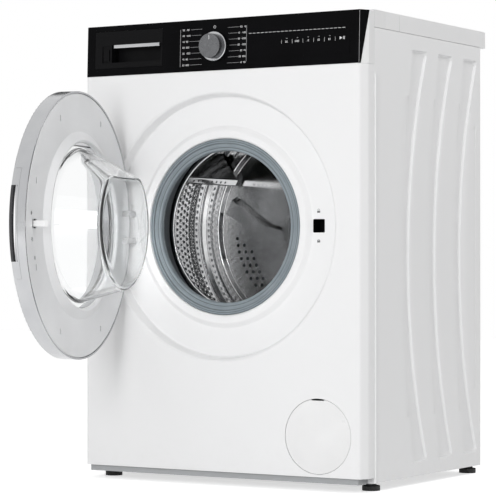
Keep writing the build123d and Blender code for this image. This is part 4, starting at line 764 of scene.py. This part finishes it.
def door_bowl():
    """The clear bowl with its slanting scoop at the top, flanged at the root."""
    mesh = bmesh.new()
    wall_share = sqrt(1 + SCOOP_FALL**2)

    def placer(shrink):
        def place(radius, depth, angle):
            up = sin(angle)
            along = depth - ROOT_DEPTH
            scoop = SCOOP_START - shrink * wall_share - SCOOP_FALL * along
            soft = SCOOP_SHARP + SCOOP_SOFT * smooth_step(along / SCOOP_EASE)
            if up > 0.02 and radius > 0:
                limit = scoop / up
                near = max(soft - abs(radius - limit), 0.0) / soft
                radius = min(radius, limit) - near * near * soft / 4
            return swung(radius * cos(angle), depth, radius * sin(angle))

        return place

    inner = bowl_profile(GLASS_WALL)[::-1] + list(FLANGE_PROFILE[:FLANGE_INNER])
    outer = list(FLANGE_PROFILE[FLANGE_INNER:]) + bowl_profile(0.0)
    sections = ((inner, placer(GLASS_WALL)), (outer, placer(0.0)))
    lathe(mesh, sections, BOWL_POINTS)
    return mesh


bowl = piece("door_bowl", door_bowl(), finishes["glass"], "door")
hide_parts("door_glass")
bowl.visible_shadow = False


# Perforated cylinder of the drum

DRUM_SHEET = 0.001
SHELL_FRONT = DRUM_FRONT + 0.008
SHELL_BACK = DRUM_BACK - 0.004
SHELL_MARGIN = 0.012
HOLE_COLUMNS = 126
HOLE_ROWS = 17
HOLE_RADIUS = 0.0021
DIMPLE_RADIUS = 0.0042
DIMPLE_DEPTH = 0.0007

# The eight border points of a cell, in halves of its width and height
CELL_BORDER = ((1, 0), (1, 1), (0, 1), (-1, 1), (-1, 0), (-1, -1), (0, -1), (1, -1))


def perforated_shell():
    """The cylinder with staggered rows of holes, each in a shallow dimple."""
    mesh = bmesh.new()
    pitch = (SHELL_BACK - SHELL_FRONT - 2 * SHELL_MARGIN) / HOLE_ROWS
    half_pitch = pi / HOLE_COLUMNS * DRUM_RADIUS
    steps = 2 * HOLE_COLUMNS

    def place(around, along, radius):
        angle = around / DRUM_RADIUS
        return Vector((radius * cos(angle), FRONT_Y + along, AXIS_Z + radius * sin(angle)))

    def sheet(radius):
        """The rings of the holes and the edges of one sheet, whose cells share borders."""
        shared = {}

        def border(step, along):
            key = (step % steps, round(along, 6))
            if key not in shared:
                shared[key] = mesh.verts.new(place(step * half_pitch, along, radius))
            return shared[key]

        holes = []
        for row in range(HOLE_ROWS):
            middle = SHELL_FRONT + SHELL_MARGIN + pitch * (row + 0.5)
            for column in range(HOLE_COLUMNS):
                centre = 2 * column + row % 2
                cell = []
                dimple = []
                hole = []
                rings = ((dimple, DIMPLE_RADIUS, 0.0), (hole, HOLE_RADIUS, DIMPLE_DEPTH))
                for corner, (across, along) in enumerate(CELL_BORDER):
                    angle = radians(45 * corner)
                    cell.append(border(centre + across, middle + along * pitch / 2))
                    for ring, size, sunk in rings:
                        around = centre * half_pitch + size * cos(angle)
                        spot = place(around, middle + size * sin(angle), radius + sunk)
                        ring.append(mesh.verts.new(spot))
                band(mesh, cell, dimple)
                band(mesh, dimple, hole)
                holes.append(hole)
        ends = []
        for along, start in (
            (SHELL_FRONT, SHELL_FRONT + SHELL_MARGIN),
            (SHELL_BACK, SHELL_BACK - SHELL_MARGIN),
        ):
            spots = [place(step * half_pitch, along, radius) for step in range(steps)]
            edge = [mesh.verts.new(spot) for spot in spots]
            band(mesh, edge, [border(step, start) for step in range(steps)])
            ends.append(edge)
        return holes + ends

    inner = sheet(DRUM_RADIUS - DRUM_SHEET)
    outer = sheet(DRUM_RADIUS)
    for first, second in zip(inner, outer):
        band(mesh, first, second)
    return mesh


shell = piece("perforated_shell", perforated_shell(), finishes["stainless"], "drum")
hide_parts("drum_shell")


# Marks printed on the console

PRINT = 0.00012
SUNK = 0.0006
pale_print = moulded("pale_print", (0.78, 0.78, 0.79), 0.5)
# Dim grey print, also used for the painted highlight down the fascia's corner
dim_print_and_highlight = moulded("dim_print_and_highlight", (0.42, 0.42, 0.43), 0.5)


def printed(name, outlines, finish):
    """Flat marks on the console's face."""
    mesh = bmesh.new()
    for outline in outlines:
        prism(mesh, outline, -SUNK, PRINT, on_console)
    return piece(name, mesh, finish, "cabinet", smooth=False)


# Which of the seven strokes a sign has
SEGMENTS = {
    " ": "",
    "0": "abcdef",
    "1": "bc",
    "2": "abged",
    "3": "abgcd",
    "4": "fgbc",
    "5": "afgcd",
    "6": "afgedc",
    "7": "abc",
    "8": "abcdefg",
    "9": "abcdfg",
}
STROKE_SHARE = 0.16
WIDTH_SHARE = 0.55
GAP_SHARE = 0.28


def digits(text, x, z, height):
    """A number in plain strokes, from its lower left corner."""
    stroke = height * STROKE_SHARE
    width = height * WIDTH_SHARE
    pitch = width + height * GAP_SHARE
    middle = z + height / 2
    half = stroke / 2
    strokes = []
    for index, sign in enumerate(text):
        left = x + index * pitch
        right = left + width
        shapes = {
            "a": bar(left, right, z + height - stroke, z + height),
            "b": bar(right - stroke, right, middle + half, z + height - stroke),
            "c": bar(right - stroke, right, z + stroke, middle - half),
            "d": bar(left, right, z, z + stroke),
            "e": bar(left, left + stroke, z + stroke, middle - half),
            "f": bar(left, left + stroke, middle + half, z + height - stroke),
            "g": bar(left, right, middle - half, middle + half),
        }
        strokes += [shapes[segment] for segment in SEGMENTS[sign]]
    return strokes


LEFT_LABELS = ("90 180", "60 1200", "40 90", "60 800", "30 1000", "40 60", "20 600")
RIGHT_LABELS = ("60 15", "40 1400", "30 1200", "60 1000", "90 45", "20 800", "40 30")
LABEL_HEIGHT = 0.0030
SIGN_PITCH = 0.0025
TOP_LABEL = 0.8235
LABEL_PITCH = 0.0107
LABELS_LEFT = -0.0770
LABELS_RIGHT = 0.0585
LEADERS_LEFT = (-0.0750, -0.0400)
LEADERS_RIGHT = (0.0240, 0.0570)
LEADER_SPREAD = 0.0016
LEADER_LOW = 0.0013
LEADER_HIGH = 0.0017


def programme_marks():
    """Seven rows of plain numbers on either side of the knob, each with a thin leader line."""
    marks = []
    leaders = []
    for row, (left, right) in enumerate(zip(LEFT_LABELS, RIGHT_LABELS)):
        z = TOP_LABEL - row * LABEL_PITCH
        left_width = SIGN_PITCH * len(left)
        right_width = SIGN_PITCH * len(right)
        marks += digits(left, LABELS_LEFT, z, LABEL_HEIGHT)
        marks += digits(right, LABELS_RIGHT - right_width, z, LABEL_HEIGHT)
        spread = abs(row - len(LEFT_LABELS) // 2) * LEADER_SPREAD
        for start, end in (
            (LEADERS_LEFT[0] + left_width, LEADERS_LEFT[1] + spread),
            (LEADERS_RIGHT[0] - spread, LEADERS_RIGHT[1] - right_width),
        ):
            leaders.append(bar(start, end, z + LEADER_LOW, z + LEADER_HIGH))
    return marks, leaders


def ring_mark(x, z, outer, inner, start, sweep, count):
    """A flat arc as one outline."""
    steps = [radians(start + sweep * index / count) for index in range(count + 1)]
    outside = [(x + outer * cos(angle), z + outer * sin(angle)) for angle in steps]
    inside = [(x + inner * cos(angle), z + inner * sin(angle)) for angle in reversed(steps)]
    return outside + inside


marks, leaders = programme_marks()
printed("programme_numbers", marks, pale_print)
printed("programme_leaders", leaders, dim_print_and_highlight)

# The start mark above the knob and the thin lines beside the rows
start_ring = ring_mark(-0.0085, 0.8276, 0.0026, 0.0021, 115.0, 310.0, 28)
start_stroke = bar(-0.00875, -0.00825, 0.8272, 0.8308)
printed("start_symbol", [start_ring, start_stroke], pale_print)
left_line = bar(-0.0821, -0.0815, 0.758, 0.826)
right_line = bar(0.0589, 0.0595, 0.762, 0.827)
printed("panel_lines", [left_line, right_line], dim_print_and_highlight)

DASHES = 24
DASH_START = 0.064
DASH_PITCH = 0.0083
DASH_LENGTH = 0.0058
DASH_LOW = 0.8114
DASH_HIGH = 0.8121
KEY_START = 0.132
KEY_PITCH = 0.0218
KEY_NUMBERS = ("20", "1200", "15", "30", "60")
KEY_NUMBER_BOTTOM = 0.7912
KEY_NUMBER_HEIGHT = 0.0032
KEY_SIGN_HALF = 0.0018
KEY_LINE_LOW = 0.7985
KEY_LINE_HIGH = 0.7990
DIVIDER_LOW = 0.7895
DIVIDER_HIGH = 0.7965
DIVIDER_WIDTH = 0.0004
START_TRIANGLE = ((0.2500, 0.7912), (0.2552, 0.7940), (0.2500, 0.7968))
PAUSE_LEFTS = (0.2568, 0.2590)
PAUSE_WIDTH = 0.0010


def display_marks():
    """A dashed line, six dividers with plain key numbers and a start and pause symbol."""
    shapes = []
    for step in range(DASHES):
        left = DASH_START + step * DASH_PITCH
        shapes.append(bar(left, left + DASH_LENGTH, DASH_LOW, DASH_HIGH))
    for step in range(len(KEY_NUMBERS) + 1):
        left = KEY_START + step * KEY_PITCH
        shapes.append(bar(left, left + DIVIDER_WIDTH, DIVIDER_LOW, DIVIDER_HIGH))
    for step, number in enumerate(KEY_NUMBERS):
        middle = KEY_START + (step + 0.5) * KEY_PITCH
        left = middle - KEY_SIGN_HALF * len(number) + 0.0006
        shapes += digits(number, left, KEY_NUMBER_BOTTOM, KEY_NUMBER_HEIGHT)
        shapes.append(bar(middle - 0.0012, middle + 0.0012, KEY_LINE_LOW, KEY_LINE_HIGH))
    shapes.append(START_TRIANGLE)
    shapes += [bar(left, left + PAUSE_WIDTH, 0.7914, 0.7966) for left in PAUSE_LEFTS]
    return shapes


printed("display_marks", display_marks(), pale_print)

# A painted highlight: a thin grey line down the fascia's right corner, in place of the light its
# edge catches
CORNER_X = HALF_WIDTH - 0.0095
corner_line = bar(CORNER_X - 0.0003, CORNER_X + 0.0002, 0.7500, 0.8405)
printed("corner_highlight", [corner_line], dim_print_and_highlight)


POINTER_HALF = 0.0006
POINTER_INNER = 0.0112
POINTER_OUTER = 0.0194
POINTER_PRINT = 0.0004


def pointer_line():
    """The pale fill of the knob's sunk pointer."""
    mesh = bmesh.new()

    def on_knob(x, z, lift):
        return Vector((x, FRONT_Y - KNOB_FACE - lift, z))

    low, high = KNOB_Z + POINTER_INNER, KNOB_Z + POINTER_OUTER
    outline = bar(KNOB_X - POINTER_HALF, KNOB_X + POINTER_HALF, low, high)
    prism(mesh, outline, 0.0, POINTER_PRINT, on_knob)
    return mesh


piece("pointer_line", pointer_line(), pale_print, "knob", smooth=False)


# Beads round the seal

# Radius and depth of each bead, and the radius of its section
SEAL_BEADS = (
    (0.1532, 0.0200, 0.0016),
    (0.1474, 0.0219, 0.0012),
    (0.1402, 0.0234, 0.0015),
    (0.1387, 0.0300, 0.0012),
)
BEAD_SECTION_POINTS = 12
BEAD_POINTS = 144


def seal_beads():
    """Thin beads that run round the seal's face, half sunk in it."""
    mesh = bmesh.new()

    def round_drum(radius, depth, angle):
        return Vector((radius * cos(angle), FRONT_Y + depth, AXIS_Z + radius * sin(angle)))

    steps = range(BEAD_SECTION_POINTS + 1)
    turns = [2 * pi * step / BEAD_SECTION_POINTS for step in steps]
    for radius, depth, size in SEAL_BEADS:
        profile = [(radius + size * cos(turn), depth + size * sin(turn)) for turn in turns]
        lathe(mesh, ((profile, round_drum),), BEAD_POINTS)
    return mesh


piece("seal_beads", seal_beads(), finishes["seal_rubber"], "cabinet")


# Lock symbols by the latch hole

LOCK_X = 0.1955
LOCK_HALF = 0.003
LOCK_LOW = 0.003
LOCK_HIGH = 0.0008
LOCK_SUNK = 0.0004
LOCK_PRINT = 0.00015
SHACKLE_RISE = 0.0007
SHACKLE_OUTER = 0.0022
SHACKLE_INNER = 0.0015
mark_grey = moulded("mark_grey", (0.16, 0.16, 0.165), 0.5)


def lock_symbols():
    """An open lock above the hole and a closed one below."""
    mesh = bmesh.new()

    def on_dish(x, z, lift):
        return Vector((x, FRONT_Y + DISH_DEPTH - lift, z))

    for z, lift_up in ((AXIS_Z + 0.026, 0.0012), (AXIS_Z - 0.0265, 0.0)):
        box = bar(LOCK_X - LOCK_HALF, LOCK_X + LOCK_HALF, z - LOCK_LOW, z + LOCK_HIGH)
        foot = z + SHACKLE_RISE + lift_up
        shackle = ring_mark(LOCK_X, foot, SHACKLE_OUTER, SHACKLE_INNER, 0.0, 180.0, 14)
        for outline in (box, shackle):
            prism(mesh, outline, -LOCK_SUNK, LOCK_PRINT, on_dish)
    return mesh


piece("lock_symbols", lock_symbols(), mark_grey, "cabinet", smooth=False)


# Screws at the back

SCREW_RADIUS = 0.0042
SCREW_HEIGHT = 0.0024
SCREW_POINTS = 48

# Shares of the head's radius and height, from its seat to its crown
SCREW_PROFILE = ((1.0, -0.25), (1.0, 0.28), (0.94, 0.55), (0.78, 0.82), (0.52, 0.97))
RECESS_REACH = 0.5
RECESS_HALF = 0.17
RECESS_SLOPE = 0.34
RECESS_ANGLE = radians(14)
RECESS_TOP = 0.97
RECESS_FLOOR = 0.35
RECESS_TAPER = 0.8

# Where the screws are: above, below and beside the service cover, and down both edges
COVER_COLUMNS = (-0.172, -0.06, 0.06, 0.172)
COVER_RISE = 0.183
COVER_SIDE = 0.175
COVER_SIDE_RISE = 0.07
EDGE_ROWS = (0.09, 0.25, 0.43, 0.61, 0.79)
EDGE_INSET = 0.0075


def pan_screw(mesh, centre):
    """A pan-head screw with a cross recess, whose head looks to the back."""
    angles = [2 * pi * index / SCREW_POINTS for index in range(SCREW_POINTS)]

    def loop(shares, rise):
        points = []
        for angle, share in zip(angles, shares):
            reach = share * SCREW_RADIUS
            away = Vector((cos(angle) * reach, rise * SCREW_HEIGHT, -sin(angle) * reach))
            points.append(mesh.verts.new(Vector(centre) + away))
        return points

    cross = []
    for angle in angles:
        quarter = abs((angle + pi / 4) % (pi / 2) - pi / 4)
        if quarter < RECESS_ANGLE:
            cross.append(RECESS_REACH)
        else:
            cross.append(min(RECESS_HALF / max(sin(quarter), RECESS_SLOPE), RECESS_REACH))
    loops = [loop([share] * SCREW_POINTS, rise) for share, rise in SCREW_PROFILE]
    loops.append(loop(cross, RECESS_TOP))
    loops.append(loop([RECESS_TAPER * share for share in cross], RECESS_FLOOR))
    for lower, upper in zip(loops, loops[1:]):
        band(mesh, lower, upper)
    mesh.faces.new(loops[0][::-1])
    mesh.faces.new(loops[-1])


def rear_screws():
    """Screws round the service cover and down both edges of the back."""
    mesh = bmesh.new()
    back = FRONT_Y + SIDE_BACK
    for x in COVER_COLUMNS:
        for z in (AXIS_Z - COVER_RISE, AXIS_Z + COVER_RISE):
            pan_screw(mesh, (x, back, z))
    for side in (-1, 1):
        for z in (AXIS_Z - COVER_SIDE_RISE, AXIS_Z + COVER_SIDE_RISE):
            pan_screw(mesh, (side * COVER_SIDE, back, z))
        for z in EDGE_ROWS:
            pan_screw(mesh, (side * (HALF_WIDTH - EDGE_INSET), back, z))
    return mesh


piece("rear_screws", rear_screws(), finishes["steel"], "cabinet")


# Studio

FLOOR_LIFT = 0.62
FLOOR_COLOUR = (0.82, 0.82, 0.82, 1)
SURROUND = 0.42


def flat_face(name, corners):
    """One flat face."""
    mesh = bmesh.new()
    for corner in corners:
        mesh.verts.new(corner)
    mesh.faces.new(mesh.verts)
    data = bpy.data.meshes.new(name)
    mesh.to_mesh(data)
    mesh.free()
    return link(name, data)


def math_node(tree, operation, first):
    """A Math node whose first value is linked."""
    made = tree.nodes.new("ShaderNodeMath")
    made.operation = operation
    tree.links.new(first, made.inputs[0])
    return made


def white_share(tree):
    """1 where the background itself is seen, directly, mirrored or through glass."""
    path = tree.nodes.new("ShaderNodeLightPath")
    share = path.outputs["Is Camera Ray"]
    for name in ("Is Glossy Ray", "Is Transmission Ray"):
        either = math_node(tree, "MAXIMUM", share)
        tree.links.new(path.outputs[name], either.inputs[1])
        share = either.outputs[0]
    return share


def studio():
    """A plain pale floor, lifted towards white where it is seen."""
    floor = flat_face("floor", ((-6, -7, 0.0), (6, -7, 0.0), (6, 7, 0.0), (-6, 7, 0.0)))
    material = bpy.data.materials.new("floor")
    material.use_nodes = True
    tree = material.node_tree
    shader = tree.nodes["Principled BSDF"]
    shader.inputs["Base Color"].default_value = FLOOR_COLOUR
    shader.inputs["Roughness"].default_value = 0.7
    lift = math_node(tree, "MULTIPLY", white_share(tree))
    lift.inputs[1].default_value = FLOOR_LIFT
    light = tree.nodes.new("ShaderNodeEmission")
    tree.links.new(lift.outputs[0], light.inputs["Strength"])
    both = tree.nodes.new("ShaderNodeAddShader")
    tree.links.new(shader.outputs[0], both.inputs[0])
    tree.links.new(light.outputs[0], both.inputs[1])
    tree.links.new(both.outputs[0], tree.nodes["Material Output"].inputs["Surface"])
    floor.data.materials.append(material)


def dark_card():
    """A dark board behind and above, out of sight, for metal and glass to mirror."""
    corners = ((-4.5, 3.0, 1.65), (1.6, 3.0, 1.65), (1.6, 3.0, 3.2), (-4.5, 3.0, 3.2))
    card = flat_face("dark_card", corners)
    card.visible_camera = False
    card.visible_diffuse = False
    card.visible_shadow = False
    dress(card, plain_rubber("dark_card", (0.02, 0.02, 0.02), 0.8))


def surround(level):
    """White where it is seen, and softer where it lights the object."""
    world = bpy.data.worlds.new("surround")
    bpy.context.scene.world = world
    world.use_nodes = True
    tree = world.node_tree
    back = tree.nodes["Background"]
    back.inputs["Color"].default_value = (1.0, 1.0, 1.0, 1.0)
    pick = tree.nodes.new("ShaderNodeMapRange")
    pick.inputs["To Min"].default_value = level
    pick.inputs["To Max"].default_value = 1.0
    tree.links.new(white_share(tree), pick.inputs["Value"])
    tree.links.new(pick.outputs[0], back.inputs["Strength"])


def aimed(name, lamp, place, target):
    """A lamp at a place, turned to a point."""
    holder = link(name, lamp)
    holder.location = place
    way = Vector(target) - Vector(place)
    holder.rotation_euler = way.to_track_quat("-Z", "Y").to_euler()
    return holder


def softbox(name, place, target, size, power):
    """A rectangular soft lamp that metal doesn't mirror."""
    lamp = bpy.data.lights.new(name, "AREA")
    lamp.shape = "RECTANGLE"
    lamp.size, lamp.size_y = size
    lamp.energy = power
    aimed(name, lamp, place, target).visible_glossy = False


def drum_lamp():
    """A narrow soft lamp that reaches into the drum."""
    lamp = bpy.data.lights.new("drum_lamp", "SPOT")
    lamp.energy = 46.0
    lamp.spot_size = radians(6.0)
    lamp.spot_blend = 0.8
    lamp.shadow_soft_size = 0.12
    target = (-0.03, FRONT_Y + 0.2, AXIS_Z - 0.07)
    aimed("drum_lamp", lamp, (0.55, -2.6, 1.15), target)


studio()
dark_card()
surround(SURROUND)
softbox("key", (-0.3, -4.0, 2.2), (0.0, -0.2, 0.4), (3.0, 3.0), 22.0)
softbox("strip", (0.85, -3.9, 1.0), (0.1, -0.2, 0.38), (0.7, 1.8), 54.0)
softbox("fill", (1.9, 0.4, 3.0), (0.2, 0.1, 0.5), (1.8, 1.8), 28.0)
drum_lamp()

# Camera at the photograph's place

camera = bpy.data.cameras.new("camera")
camera.sensor_width = 36.0
camera.lens = 158.95
camera.clip_end = 60.0
eye = link("camera", camera)
eye.location = (2.1165, -3.6355, 0.3972)
eye.rotation_euler = (radians(90.39), 0.0, radians(31.34))

scene = bpy.context.scene
scene.camera = eye
scene.view_settings.view_transform = "Standard"
